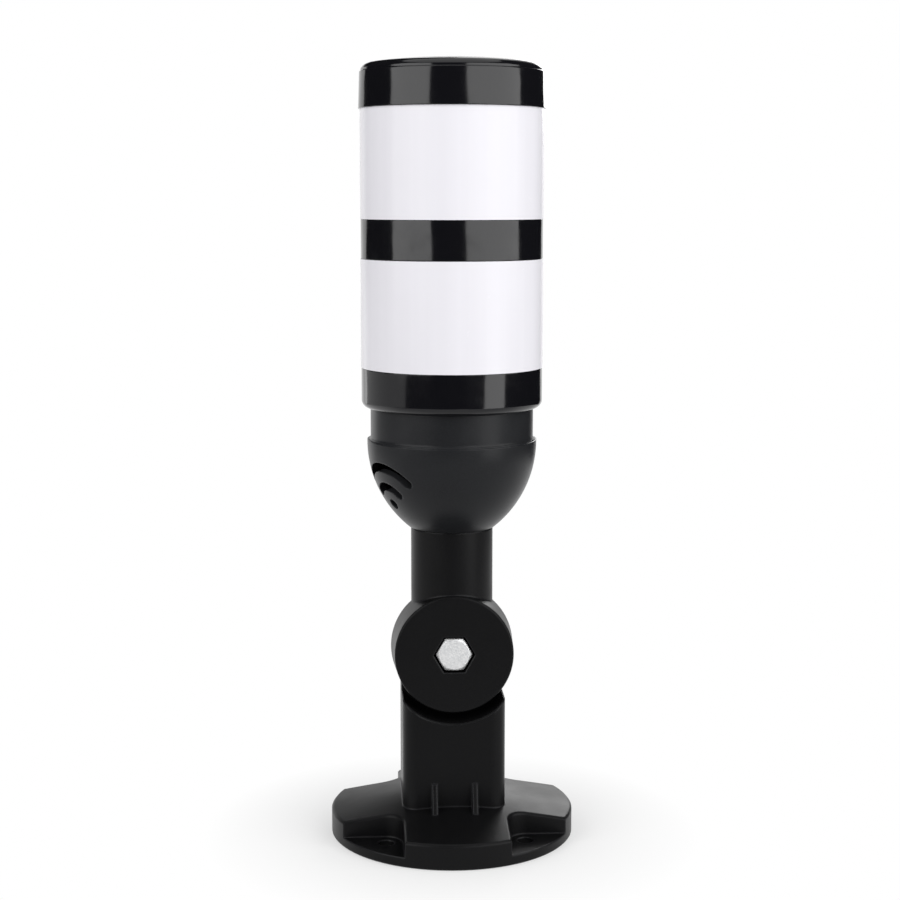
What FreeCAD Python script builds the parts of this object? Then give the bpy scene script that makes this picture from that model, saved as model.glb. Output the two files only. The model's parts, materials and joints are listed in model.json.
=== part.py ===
import FreeCAD, Part
import math
import os

import Sketcher

# Stack light, 50 mm, two tiers, on a folding foot bracket.
# Millimetres. +Z is up, the underside of the foot is at z = 0 and the lamp's axis is x = y = 0.
# The fold turns about a bolt that runs along Y. The arm's disc lies in front of y = 0, and the
# foot's tongue lies behind it.

SIZES = {
    # foot, one moulding with the pillar and the tongue
    "foot_diameter": 68.0,
    "foot_rim_height": 7.0,
    "foot_crown_height": 10.7,
    "foot_wall": 2.6,
    "foot_rib_width": 1.8,
    "arm_width": 28.8,
    "notch_corner": 5.5,
    "notch_floor": 2.7,
    "screw_hole": 4.5,
    "screw_circle": 54.0,
    "pillar_width": 28.4,
    "pillar_depth": 27.6,
    "pillar_corner": 4.2,
    "crest_chamfer": 0.5,
    "edge_fillet": 0.6,
    "duct_diameter": 20.0,
    "gusset_spacing": 11.1,
    "gusset_width": 1.4,
    "gusset_height": 6.6,
    "gusset_reach": 5.4,
    # fold
    "hinge_height": 53.3,
    "disc_diameter": 34.2,
    "disc_face_inset": 0.7,
    "disc_thickness": 12.4,
    "arc_clearance": 1.9,
    "saddle_chamfer": 0.4,
    "cavity_outer": 22.4,
    "cavity_inner": 10.4,
    "arm_cavity_depth": 6.4,
    "tongue_cavity_depth": 7.5,
    "cable_way_width": 10.0,
    "way_wall": 2.1,
    "bolt_diameter": 6.0,
    "bolt_length": 30.0,
    "bolt_flats": 8.9,
    "bolt_head_height": 4.0,
    "bolt_head_sink": 0.5,
    "bolt_clearance": 0.08,
    "hex_clearance": 0.55,
    "hex_chamfer_width": 0.35,
    "washer_diameter": 12.0,
    "washer_thickness": 1.6,
    "spring_washer_diameter": 10.6,
    "spring_washer_thickness": 1.6,
    "spring_washer_slit": 1.0,
    "nut_height": 5.0,
    # neck
    "neck_diameter": 22.75,
    "neck_length": 33.9,
    "stub_diameter": 17.0,
    "stub_bore": 12.5,
    "stub_height": 10.0,
    "neck_nut_flats": 22.5,
    "neck_nut_height": 4.0,
    "neck_nut_room": 0.6,
    # sounder housing
    "housing_foot_diameter": 23.4,
    "housing_foot_fillet": 0.7,
    "housing_lip_diameter": 46.8,
    "housing_height": 24.6,
    "housing_curve": 31.0,
    "housing_wall": 2.0,
    "housing_floor": 4.6,
    "lip_step": 0.3,
    "spigot_length": 5.0,
    "fit_clearance": 0.1,
    "sound_direction_angle": 61.0,
    "sound_tilt_angle": 20.4,
    "sound_height": 7.8,
    "sound_start": 10.0,
    "sound_reach": 8.6,
    "sound_dot": 3.2,
    "sound_arc_pitch": 5.6,
    "sound_slot_width": 2.5,
    "sound_arc_half_angle": 54.0,
    # collar
    "collar_diameter": 44.9,
    "collar_height": 8.9,
    "collar_wall": 2.2,
    "collar_flare": 0.6,
    "collar_flare_height": 0.9,
    "ledge_width": 1.8,
    "ledge_height": 1.2,
    "boss_diameter": 5.8,
    "boss_circle": 35.6,
    "boss_drop": 5.0,
    "ring_boss_height": 4.3,
    "small_screw_diameter": 2.5,
    "small_screw_length": 7.0,
    "small_screw_head": 4.4,
    "small_screw_head_height": 1.5,
    # rings and lenses
    "ring_diameter": 49.8,
    "ring_curve": 2.1,
    "base_ring_height": 11.1,
    "middle_ring_height": 10.8,
    "web_thickness": 2.2,
    "spigot_wall": 2.0,
    "spigot_rise": 3.0,
    "lens_diameter": 50.0,
    "lens_wall": 2.2,
    "lens_height": 29.6,
    "seal_thickness": 1.2,
    # cap
    "cap_diameter": 50.8,
    "cap_top_inset": 0.3,
    "cap_skirt_height": 9.8,
    "cap_step": 0.7,
    "cap_height": 13.6,
    "cap_crown_diameter": 46.0,
    "cap_crown_rise": 1.6,
    "cap_shoulder_radius": 2.6,
    "cap_step_width": 0.35,
    "cap_wall": 2.0,
    # electrics
    "board_thickness": 1.6,
    "driver_board_diameter": 40.0,
    "sounder_diameter": 22.0,
    "sounder_height": 11.0,
    "sounder_offset": 2.5,
    "sounder_port": 3.0,
    "terminal_width": 16.0,
    "terminal_depth": 7.0,
    "terminal_height": 8.5,
    "terminal_offset": 13.2,
    "terminal_ways": 4.0,
    "header_width": 12.0,
    "header_depth": 5.0,
    "base_board_diameter": 30.0,
    "led_board_width": 26.0,
    "connector_height": 5.0,
    "led_size": 5.0,
    "led_height": 1.5,
    "led_pitch_across": 8.0,
    "led_pitch_up": 8.5,
    "capacitor_diameter": 5.0,
    "capacitor_height": 4.2,
    "chip_length": 7.0,
    "chip_width": 4.5,
    "chip_height": 2.0,
}


def make_sheet(document):
    """The driving sizes, one cell each."""
    sheet = document.addObject("Spreadsheet::Sheet", "dims")
    for row, (alias, value) in enumerate(SIZES.items(), start=1):
        sheet.set(f"A{row}", alias)
        sheet.set(f"B{row}", str(value))
        sheet.setAlias(f"B{row}", alias)
    document.recompute()
    return sheet


doc = FreeCAD.newDocument("stack_light")
dims = make_sheet(doc)
nodes = []


def half(alias):
    return f"(dims.{alias} / 2)"


def value_of(expression):
    """An expression's value with the sheet's present sizes."""
    return float(dims.evalExpression(str(expression)))


# Levels above the foot's underside, each worked out from the pieces below it.
HINGE = "dims.hinge_height"
NECK_TOP = "(dims.hinge_height + dims.neck_length)"
HOUSING_TOP = f"({NECK_TOP} + dims.housing_height)"
COLLAR_TOP = f"({HOUSING_TOP} + dims.collar_height)"
BASE_RING_TOP = f"({COLLAR_TOP} + dims.base_ring_height)"
LOWER_LENS_TOP = f"({BASE_RING_TOP} + dims.lens_height)"
MIDDLE_RING_TOP = f"({LOWER_LENS_TOP} + dims.middle_ring_height)"
UPPER_LENS_TOP = f"({MIDDLE_RING_TOP} + dims.lens_height)"
DRIVER_BOARD = f"({HOUSING_TOP} + dims.ledge_height)"
MIDDLE_WEB = f"({LOWER_LENS_TOP} + (dims.middle_ring_height - dims.web_thickness) / 2)"
BASE_WEB_TOP = f"({COLLAR_TOP} + dims.web_thickness)"
MIDDLE_WEB_TOP = f"({MIDDLE_WEB} + dims.web_thickness)"

# Radii and depths that several pieces share.
ARC_RADIUS = "(dims.disc_diameter / 2 + dims.arc_clearance)"
SPIGOT_OUTER = "(dims.lens_diameter / 2 - dims.lens_wall - dims.fit_clearance)"
SPIGOT_INNER = f"({SPIGOT_OUTER} - dims.spigot_wall)"
SEAL_MIDDLE = "(dims.lens_diameter / 2 - dims.lens_wall - dims.seal_thickness / 2)"
HOUSING_MOUTH = "(dims.housing_lip_diameter / 2 - dims.housing_wall - dims.lip_step)"
COLLAR_BORE = "(dims.collar_diameter / 2 - dims.collar_wall)"
CHAMBER_MIDDLE = "((dims.cavity_outer + dims.cavity_inner) / 4)"
BOLT_BORE = "(dims.bolt_diameter / 2 + dims.bolt_clearance)"
HEAD_SEAT = "(dims.disc_thickness - dims.bolt_head_sink - dims.bolt_head_height)"
LED_BOARD_HEIGHT = f"({MIDDLE_WEB} - {BASE_WEB_TOP} - dims.board_thickness - dims.connector_height)"


def new_body(name):
    body = doc.addObject("PartDesign::Body", name)
    body.Label = name
    return body


def node(item, name, level=None):
    """Names a finished sub-part, lifts it to its level and lists it for the export."""
    item.Label = name
    if level is not None:
        item.setExpression("Placement.Base.z", level)
    nodes.append(item)
    return item


def origin_plane(body, role):
    return next(item for item in body.Origin.OriginFeatures if item.Role == role)


def new_sketch(body, name, role, offset=None):
    """A sketch on one of the body's origin planes. XY faces +Z, XZ faces -Y and YZ faces +X."""
    sketch = body.newObject("Sketcher::SketchObject", name)
    sketch.AttachmentSupport = [(origin_plane(body, role), "")]
    sketch.MapMode = "FlatFace"
    if offset is not None:
        sketch.setExpression("AttachmentOffset", offset)
    return sketch


def shift(across, up, out):
    """An attachment offset that moves a sketch within its plane and off it."""
    return f"placement(vector({across}; {up}; {out}); rotation(vector(0; 0; 1); 0))"


def arc_through(start, end, radius):
    """The shorter arc between two points. A positive radius has its centre on the left."""
    chord = end - start
    reach = chord.Length / 2
    bulge = abs(radius) - max(radius * radius - reach * reach, 0.0) ** 0.5
    right = FreeCAD.Vector(chord.y, -chord.x, 0).normalize()
    middle = (start + end) / 2 + right * (bulge if radius > 0 else -bulge)
    if radius > 0:
        return Part.Arc(start, middle, end)
    return Part.Arc(end, middle, start)


HALF_ROUND = "half round"


def outline(sketch, points):
    """A closed outline, fully constrained. Each point is (across, up) or (across, up, radius).
    The radius bends the edge that leaves the point, and HALF_ROUND makes it a half circle."""
    places = [FreeCAD.Vector(value_of(p[0]), value_of(p[1]), 0) for p in points]
    starts = []
    ends = []
    for index, point in enumerate(points):
        here = places[index]
        there = places[(index + 1) % len(points)]
        if len(point) == 2:
            edge = Part.LineSegment(here, there)
        elif point[2] == HALF_ROUND:
            edge = arc_through(here, there, (there - here).Length / 2)
        else:
            edge = arc_through(here, there, value_of(point[2]))
        number = sketch.addGeometry(edge)
        forward = sketch.Geometry[number].StartPoint.isEqual(here, 1e-6)
        starts.append((number, 1 if forward else 2))
        ends.append((number, 2 if forward else 1))
        if len(point) == 3 and point[2] == HALF_ROUND:
            sketch.addConstraint(Sketcher.Constraint("Symmetric", number, 1, number, 2, number, 3))
        elif len(point) == 3:
            bind(sketch, Sketcher.Constraint("Radius", number, abs(value_of(point[2]))), f"abs({point[2]})")
    for index, point in enumerate(points):
        following = starts[(index + 1) % len(points)]
        sketch.addConstraint(Sketcher.Constraint("Coincident", *ends[index], *following))
        for kind, coordinate in (("DistanceX", point[0]), ("DistanceY", point[1])):
            bind(sketch, Sketcher.Constraint(kind, *starts[index], value_of(coordinate)), coordinate)


def bind(sketch, constraint, expression):
    number = sketch.addConstraint(constraint)
    sketch.setExpression(f"Constraints[{number}]", str(expression))


def circle(sketch, radius, across="0", up="0"):
    centre = FreeCAD.Vector(value_of(across), value_of(up), 0)
    number = sketch.addGeometry(Part.Circle(centre, FreeCAD.Vector(0, 0, 1), value_of(radius)))
    bind(sketch, Sketcher.Constraint("Radius", number, value_of(radius)), radius)
    bind(sketch, Sketcher.Constraint("DistanceX", number, 3, centre.x), across)
    bind(sketch, Sketcher.Constraint("DistanceY", number, 3, centre.y), up)


def rectangle(sketch, left, right, bottom, top):
    outline(sketch, [(left, bottom), (right, bottom), (right, top), (left, top)])


def hexagon(sketch, flats):
    """A hexagon with points left and right."""
    corner = f"({flats}) / sqrt(3)"
    near = f"({flats}) / sqrt(3) / 2"
    up = f"({flats}) / 2"
    down = f"-({flats}) / 2"
    right_side = [(near, down), (corner, "0"), (near, up)]
    left_side = [(f"-{near}", up), (f"-{corner}", "0"), (f"-{near}", down)]
    outline(sketch, right_side + left_side)


def pad(body, sketch, length, reverse=False, midplane=False):
    feature = body.newObject("PartDesign::Pad", sketch.Name + "_pad")
    feature.Profile = sketch
    feature.setExpression("Length", length)
    feature.Reversed = reverse
    feature.Midplane = midplane
    return feature


def pocket(body, sketch, length, reverse=False):
    """Cuts against the sketch's normal, or along it when reversed, and checks that it cut."""
    doc.recompute()
    before = body.Shape.Volume
    feature = body.newObject("PartDesign::Pocket", sketch.Name + "_pocket")
    feature.Profile = sketch
    feature.setExpression("Length", length)
    feature.Reversed = reverse
    doc.recompute()
    if body.Shape.Volume >= before:
        raise RuntimeError(f"{feature.Name} cut nothing")
    return feature


def revolve(body, sketch, axis="V_Axis"):
    feature = body.newObject("PartDesign::Revolution", sketch.Name + "_turn")
    feature.Profile = sketch
    feature.ReferenceAxis = (sketch, [axis])
    feature.Angle = 360
    return feature


def around(body, feature, count):
    """Repeats a feature evenly about the body's Z axis."""
    pattern = body.newObject("PartDesign::PolarPattern", feature.Name + "_pattern")
    pattern.Originals = [feature]
    pattern.Axis = (origin_plane(body, "Z_Axis"), [""])
    pattern.Angle = 360
    pattern.Occurrences = count
    body.Tip = pattern
    return pattern


def turned(name, points, level=None):
    """A body turned about Z from one outline of (radius, height) points."""
    body = new_body(name)
    sketch = new_sketch(body, name + "_section", "XZ_Plane")
    outline(sketch, points)
    revolve(body, sketch)
    return node(body, name, level)


def edges_where(body, test):
    """Names of the body's edges whose points all pass the test."""
    doc.recompute()
    found = []
    for number, edge in enumerate(body.Shape.Edges, start=1):
        first, last = edge.ParameterRange
        samples = [edge.valueAt(first + (last - first) * step / 4) for step in range(5)]
        if all(test(point) for point in samples):
            found.append(f"Edge{number}")
    return found


def fillet_edges(body, name, radius, names):
    if not names:
        raise RuntimeError(f"{name} found no edge")
    base = body.Tip
    feature = body.newObject("PartDesign::Fillet", name)
    feature.Base = (base, names)
    feature.setExpression("Radius", radius)


def chamfer_edges(body, name, size, names):
    if not names:
        raise RuntimeError(f"{name} found no edge")
    base = body.Tip
    feature = body.newObject("PartDesign::Chamfer", name)
    feature.Base = (base, names)
    feature.setExpression("Size", size)


def is_near(first, second):
    return abs(first - second) < 0.01


def radius_at(point):
    """Distance from the lamp's axis."""
    return math.hypot(point.x, point.y)


def radius_from_bolt(point):
    """Distance from the fold's bolt."""
    return math.hypot(point.x, point.z - value_of(HINGE))


def group(name, items):
    """Several like solids that are one node."""
    compound = doc.addObject("Part::Compound", name)
    compound.Links = items
    return node(compound, name)


def set_expressions(item, **expressions):
    for path, expression in expressions.items():
        item.setExpression(path.replace("__", "."), str(expression))
    return item


def block(name, length, width, height, x_middle, y_middle, z_bottom):
    """A box placed by the middle of its footprint."""
    return set_expressions(
        doc.addObject("Part::Box", name),
        Length=length,
        Width=width,
        Height=height,
        Placement__Base__x=f"{x_middle} - ({length}) / 2",
        Placement__Base__y=f"{y_middle} - ({width}) / 2",
        Placement__Base__z=z_bottom,
    )


def rod(name, radius, height, x_middle, y_middle, z_bottom):
    return set_expressions(
        doc.addObject("Part::Cylinder", name),
        Radius=radius,
        Height=height,
        Placement__Base__x=x_middle,
        Placement__Base__y=y_middle,
        Placement__Base__z=z_bottom,
    )


def cut(name, base, tool):
    item = doc.addObject("Part::Cut", name)
    item.Base = base
    item.Tool = tool
    return item


def fuse(name, items):
    item = doc.addObject("Part::MultiFuse", name)
    item.Shapes = items
    return item


# ---------------------------------------------------------------- foot, pillar and tongue


def foot_plate(body):
    """The round plate, with a rim and a shallow cone up to the pillar."""
    sketch = new_sketch(body, "foot_section", "XZ_Plane")
    rim = half("foot_diameter")
    crown = half("pillar_width")
    outline(sketch, [
        ("0", "0"),
        (rim, "0"),
        (rim, "dims.foot_rim_height"),
        (crown, "dims.foot_crown_height"),
        ("0", "dims.foot_crown_height"),
    ])
    revolve(body, sketch)


def foot_notches(body):
    """Four notches that leave a cross of arms above the thin floor."""
    sketch = new_sketch(body, "notch", "XY_Plane", shift("0", "0", "dims.notch_floor"))
    near = half("arm_width")
    bend = f"({near} + dims.notch_corner)"
    outline(sketch, [
        (near, bend, "dims.notch_corner"),
        (bend, near),
        ("dims.foot_diameter", near),
        ("dims.foot_diameter", "dims.foot_diameter"),
        (near, "dims.foot_diameter"),
    ])
    around(body, pocket(body, sketch, "dims.foot_crown_height", reverse=True), 4)


def foot_chamfers(body):
    """Breaks every upper edge of the arms, then the foot's lower edge."""
    above = value_of("dims.notch_floor + dims.crest_chamfer")
    crests = edges_where(body, lambda point: point.z > above and radius_at(point) > 1)
    chamfer_edges(body, "arm_crest_chamfer", "dims.crest_chamfer", crests)
    rim = value_of(half("foot_diameter"))
    lower = edges_where(body, lambda point: is_near(point.z, 0) and is_near(radius_at(point), rim))
    chamfer_edges(body, "foot_lower_chamfer", half("crest_chamfer"), lower)


def underside_pockets(body):
    """Two cores under each arm, either side of a rib, that keep the moulding's wall even."""
    outer = "(dims.foot_diameter / 2 - dims.foot_wall)"
    inner = "(dims.pillar_width / 2 + dims.foot_rib_width)"
    near = half("foot_rib_width")
    far = "(dims.arm_width / 2 - dims.foot_wall)"
    depth = "(dims.foot_rim_height - dims.foot_wall)"
    for name, left, right in (("core_right", near, far), ("core_left", f"-{far}", f"-{near}")):
        sketch = new_sketch(body, name, "XY_Plane")
        outline(sketch, [
            (left, inner),
            (right, inner),
            (right, f"sqrt({outer}^2 - ({right})^2)", outer),
            (left, f"sqrt({outer}^2 - ({left})^2)"),
        ])
        around(body, pocket(body, sketch, depth, reverse=True), 4)


def pillar(body):
    """The pillar, with large upright corners, up past the hinge as the tongue."""
    sketch = new_sketch(body, "pillar_plan", "XY_Plane", shift("0", "0", "dims.notch_floor"))
    x_far = half("pillar_width")
    y_far = half("pillar_depth")
    x_near = f"({x_far} - dims.pillar_corner)"
    y_near = f"({y_far} - dims.pillar_corner)"
    corner = "dims.pillar_corner"
    outline(sketch, [
        (x_near, f"-{y_far}", corner),
        (x_far, f"-{y_near}"),
        (x_far, y_near, corner),
        (x_near, y_far),
        (f"-{x_near}", y_far, corner),
        (f"-{x_far}", y_near),
        (f"-{x_far}", f"-{y_near}", corner),
        (f"-{x_near}", f"-{y_far}"),
    ])
    pad(body, sketch, "dims.hinge_height + dims.pillar_width / 2 - dims.notch_floor")


def tongue(body):
    """Clears the front half round the arm's disc and rounds the rear half over the hinge."""
    clear = new_sketch(body, "disc_clearance", "XZ_Plane", shift("0", HINGE, "0"))
    circle(clear, ARC_RADIUS)
    pocket(body, clear, "dims.pillar_depth", reverse=True)
    top = new_sketch(body, "tongue_top", "XZ_Plane", shift("0", HINGE, "-dims.pillar_depth"))
    side = half("pillar_width")
    outline(top, [
        (side, "0", side),
        ("0", side, side),
        (f"-{side}", "0"),
        (f"-{side} * 2", "0"),
        (f"-{side} * 2", f"{side} * 2"),
        (f"{side} * 2", f"{side} * 2"),
        (f"{side} * 2", "0"),
    ])
    pocket(body, top, "dims.pillar_depth * 2", reverse=True)


def saddle_chamfer(body):
    """Breaks the front edge of the saddle under the disc."""
    saddle = value_of(ARC_RADIUS)
    front = edges_where(body, lambda point: point.y < -1 and is_near(radius_from_bolt(point), saddle))
    chamfer_edges(body, "saddle_chamfer", "dims.saddle_chamfer", front)


def cable_duct(body):
    """The bore up the pillar, the chamber round the bolt and the way between them."""
    duct = new_sketch(body, "duct", "XY_Plane")
    circle(duct, half("duct_diameter"))
    duct_top = f"(dims.hinge_height - {ARC_RADIUS} - dims.foot_wall)"
    pocket(body, duct, duct_top, reverse=True)
    chamber = new_sketch(body, "tongue_chamber", "XZ_Plane", shift("0", HINGE, "0"))
    circle(chamber, half("cavity_outer"))
    circle(chamber, half("cavity_inner"))
    pocket(body, chamber, "dims.tongue_cavity_depth")
    way_bottom = f"({duct_top} - dims.way_wall)"
    way = new_sketch(body, "tongue_way", "XY_Plane", shift("0", "0", way_bottom))
    far = half("cable_way_width")
    rectangle(way, f"-{far}", far, "dims.way_wall", "dims.tongue_cavity_depth")
    pocket(body, way, f"dims.hinge_height - {CHAMBER_MIDDLE} - {way_bottom}", reverse=True)
    bore = new_sketch(body, "tongue_bore", "XZ_Plane", shift("0", HINGE, "0"))
    circle(bore, BOLT_BORE)
    pocket(body, bore, "dims.pillar_depth")


def screw_holes(body):
    sketch = new_sketch(body, "screw_hole", "XY_Plane")
    diagonal = "dims.screw_circle / 2 * cos(45)"
    circle(sketch, half("screw_hole"), diagonal, diagonal)
    around(body, pocket(body, sketch, "dims.foot_crown_height", reverse=True), 4)


def gussets(body):
    """Two thin ribs at the pillar's root, in front and behind."""
    root = "(dims.pillar_depth / 2 - dims.foot_wall / 2)"
    tip = "(dims.pillar_depth / 2 + dims.gusset_reach)"
    low = "dims.notch_floor"
    high = "(dims.foot_crown_height + dims.gusset_height)"
    toe = "(dims.foot_rim_height + dims.edge_fillet)"
    for name, side, front in (
        ("gusset_1", "-1", "-1"), ("gusset_2", "1", "-1"), ("gusset_3", "-1", "1"), ("gusset_4", "1", "1"),
    ):
        place = shift("0", "0", f"{side} * dims.gusset_spacing / 2")
        sketch = new_sketch(body, name, "YZ_Plane", place)
        outline(sketch, [
            (f"{front} * {root}", low),
            (f"{front} * {tip}", low),
            (f"{front} * {tip}", toe),
            (f"{front} * (dims.pillar_depth / 2 + dims.gusset_width / 2)", high),
            (f"{front} * {root}", high),
        ])
        pad(body, sketch, "dims.gusset_width", midplane=True)


def base_bracket():
    body = new_body("base_bracket")
    foot_plate(body)
    foot_notches(body)
    foot_chamfers(body)
    pillar(body)
    tongue(body)
    saddle_chamfer(body)
    gussets(body)
    underside_pockets(body)
    cable_duct(body)
    screw_holes(body)
    return node(body, "base_bracket")


# ---------------------------------------------------------------- folding arm and its bolt


def arm_disc(body):
    """The disc of the fold, drafted to its front face."""
    sketch = new_sketch(body, "disc_section", "YZ_Plane", shift("0", HINGE, "0"))
    rim = half("disc_diameter")
    face = f"({rim} - dims.disc_face_inset)"
    edge = "dims.edge_fillet"
    outline(sketch, [
        ("0", "0"),
        ("0", rim),
        (f"-dims.disc_thickness + {edge}", face, edge),
        ("-dims.disc_thickness", f"{face} - {edge}"),
        ("-dims.disc_thickness", "0"),
    ])
    revolve(body, sketch, "H_Axis")


def arm_neck(body):
    """The round neck, cleared behind the disc so that it passes over the tongue."""
    neck = new_sketch(body, "neck", "XY_Plane", shift("0", "0", HINGE))
    circle(neck, half("neck_diameter"))
    pad(body, neck, "dims.neck_length")
    stub = new_sketch(body, "stub", "XY_Plane", shift("0", "0", NECK_TOP))
    circle(stub, half("stub_diameter"))
    pad(body, stub, "dims.stub_height")
    clear = new_sketch(body, "tongue_clearance", "XZ_Plane", shift("0", HINGE, "0"))
    circle(clear, ARC_RADIUS)
    pocket(body, clear, "dims.neck_diameter")


def arm_cavities(body):
    """The neck's bore, the chamber round the bolt and the way that joins them."""
    bore = new_sketch(body, "neck_bore", "XY_Plane", shift("0", "0", f"{NECK_TOP} + dims.stub_height"))
    circle(bore, half("stub_bore"))
    bore_floor = f"({ARC_RADIUS} + dims.way_wall)"
    pocket(body, bore, f"dims.neck_length + dims.stub_height - {bore_floor}")
    chamber = new_sketch(body, "arm_chamber", "XZ_Plane", shift("0", HINGE, "0"))
    circle(chamber, half("cavity_outer"))
    circle(chamber, half("cavity_inner"))
    pocket(body, chamber, "dims.arm_cavity_depth", reverse=True)
    way = new_sketch(body, "arm_way", "XY_Plane", shift("0", "0", f"{HINGE} + {CHAMBER_MIDDLE}"))
    far = half("cable_way_width")
    rectangle(way, f"-{far}", far, "-dims.arm_cavity_depth", "-dims.way_wall")
    pocket(body, way, f"{bore_floor} - {CHAMBER_MIDDLE}", reverse=True)


def arm_bolt_seat(body):
    """The bolt's bore, and the hexagonal recess that keeps its head from turning."""
    bore = new_sketch(body, "arm_bore", "XZ_Plane", shift("0", HINGE, "0"))
    circle(bore, "dims.bolt_diameter / 2")
    pocket(body, bore, "dims.disc_thickness", reverse=True)
    recess = new_sketch(body, "head_recess", "XZ_Plane", shift("0", HINGE, HEAD_SEAT))
    hexagon(recess, "dims.bolt_flats + dims.hex_clearance * 2")
    pocket(body, recess, "dims.disc_thickness", reverse=True)


def fold_arm():
    body = new_body("fold_arm")
    arm_disc(body)
    arm_neck(body)
    arm_cavities(body)
    arm_bolt_seat(body)
    return node(body, "fold_arm")


def chamfered_hexagon(body, name, flats, seat, height, outward):
    """A hexagonal prism along Y whose outer end is turned to a cone, by the common of the two."""
    sketch = new_sketch(body, name, "XZ_Plane", shift("0", "0", seat))
    hexagon(sketch, flats)
    pad(body, sketch, height, reverse=not outward)


def joint_bolt():
    body = new_body("joint_bolt")
    chamfered_hexagon(body, "bolt_head", "dims.bolt_flats", HEAD_SEAT, "dims.bolt_head_height", True)
    shank = new_sketch(body, "bolt_shank", "XZ_Plane", shift("0", "0", HEAD_SEAT))
    circle(shank, half("bolt_diameter"))
    pad(body, shank, "dims.bolt_length", reverse=True)
    trim = new_sketch(body, "bolt_head_chamfer", "YZ_Plane")
    groove_corner(body, trim, f"-({HEAD_SEAT} + dims.bolt_head_height)", "dims.bolt_flats", "1")
    return node(body, "joint_bolt", HINGE)


def groove_corner(body, sketch, end, flats, inward):
    """Turns a 30 degree chamfer on a hexagon's end, which leaves a round bearing face."""
    flat = f"({flats} / 2 - dims.hex_chamfer_width)"
    corner = f"({flats})"
    outline(sketch, [
        (end, flat),
        (f"{end} + {inward} * ({corner} - {flat}) * tan(30)", corner),
        (end, corner),
    ])
    doc.recompute()
    before = body.Shape.Volume
    feature = body.newObject("PartDesign::Groove", sketch.Name + "_groove")
    feature.Profile = sketch
    feature.ReferenceAxis = (sketch, ["H_Axis"])
    feature.Angle = 360
    doc.recompute()
    if body.Shape.Volume >= before:
        raise RuntimeError(f"{feature.Name} cut nothing")


def bolt_washer(name, diameter, thickness, seat):
    body = new_body(name)
    sketch = new_sketch(body, name + "_ring", "XZ_Plane", shift("0", "0", f"-({seat})"))
    circle(sketch, f"{diameter} / 2")
    circle(sketch, BOLT_BORE)
    pad(body, sketch, thickness, reverse=True)
    return body


def joint_hardware():
    """Washer, spring washer and nut, one behind the other on the tongue's back."""
    seat = half("pillar_depth")
    flat = bolt_washer("joint_washer", "dims.washer_diameter", "dims.washer_thickness", seat)
    node(flat, "joint_washer", HINGE)
    seat = f"{seat} + dims.washer_thickness"
    spring = bolt_washer(
        "joint_spring_washer", "dims.spring_washer_diameter", "dims.spring_washer_thickness", seat)
    slit = new_sketch(spring, "spring_slit", "XZ_Plane", shift("0", "0", f"-({seat})"))
    side = half("spring_washer_slit")
    rectangle(slit, f"-{side}", side, "1", "dims.spring_washer_diameter")
    pocket(spring, slit, "dims.spring_washer_thickness")
    node(spring, "joint_spring_washer", HINGE)
    seat = f"{seat} + dims.spring_washer_thickness"
    nut = new_body("joint_nut")
    chamfered_hexagon(nut, "nut_prism", "dims.bolt_flats", f"-({seat})", "dims.nut_height", False)
    hole = new_sketch(nut, "nut_hole", "XZ_Plane", shift("0", "0", f"-({seat})"))
    circle(hole, half("bolt_diameter"))
    pocket(nut, hole, "dims.nut_height")
    trim = new_sketch(nut, "nut_chamfer", "YZ_Plane")
    groove_corner(nut, trim, f"({seat} + dims.nut_height)", "dims.bolt_flats", "-1")
    node(nut, "joint_nut", HINGE)


# ---------------------------------------------------------------- sounder housing and collar


def neck_nut():
    body = new_body("neck_nut")
    prism = new_sketch(body, "neck_nut_prism", "XY_Plane")
    hexagon(prism, "dims.neck_nut_flats")
    circle(prism, half("stub_diameter"))
    pad(body, prism, "dims.neck_nut_height")
    return node(body, "neck_nut", f"{NECK_TOP} + dims.housing_floor")


def sound_slots(body):
    """A round port with two arcs over it, cut square to the bowl's slope."""
    yaw = "rotation(vector(0; 1; 0); -dims.sound_direction_angle)"
    tilt = "rotation(vector(1; 0; 0); dims.sound_tilt_angle)"
    out_x = "-dims.sound_start * sin(dims.sound_direction_angle)"
    out_y = "dims.sound_start * cos(dims.sound_direction_angle)"
    height = "(dims.sound_height + dims.sound_reach * tan(dims.sound_tilt_angle))"
    place = f"placement(vector({out_x}; {height}; {out_y}); {yaw} * {tilt})"
    dot = new_sketch(body, "sound_dot", "XZ_Plane", place)
    circle(dot, half("sound_dot"))
    pocket(body, dot, "dims.housing_lip_diameter / 2", reverse=True)
    for turn in (1, 2):
        middle = f"(dims.sound_arc_pitch * {turn})"
        outer = f"({middle} + dims.sound_slot_width / 2)"
        inner = f"({middle} - dims.sound_slot_width / 2)"
        away = "sin(dims.sound_arc_half_angle)"
        up = "cos(dims.sound_arc_half_angle)"
        arc = new_sketch(body, f"sound_arc_{turn}", "XZ_Plane", place)
        outline(arc, [
            (f"{outer} * {away}", f"{outer} * {up}", outer),
            (f"-{outer} * {away}", f"{outer} * {up}", HALF_ROUND),
            (f"-{inner} * {away}", f"{inner} * {up}", f"-{inner}"),
            (f"{inner} * {away}", f"{inner} * {up}", HALF_ROUND),
        ])
        pocket(body, arc, "dims.housing_lip_diameter / 2", reverse=True)


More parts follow.
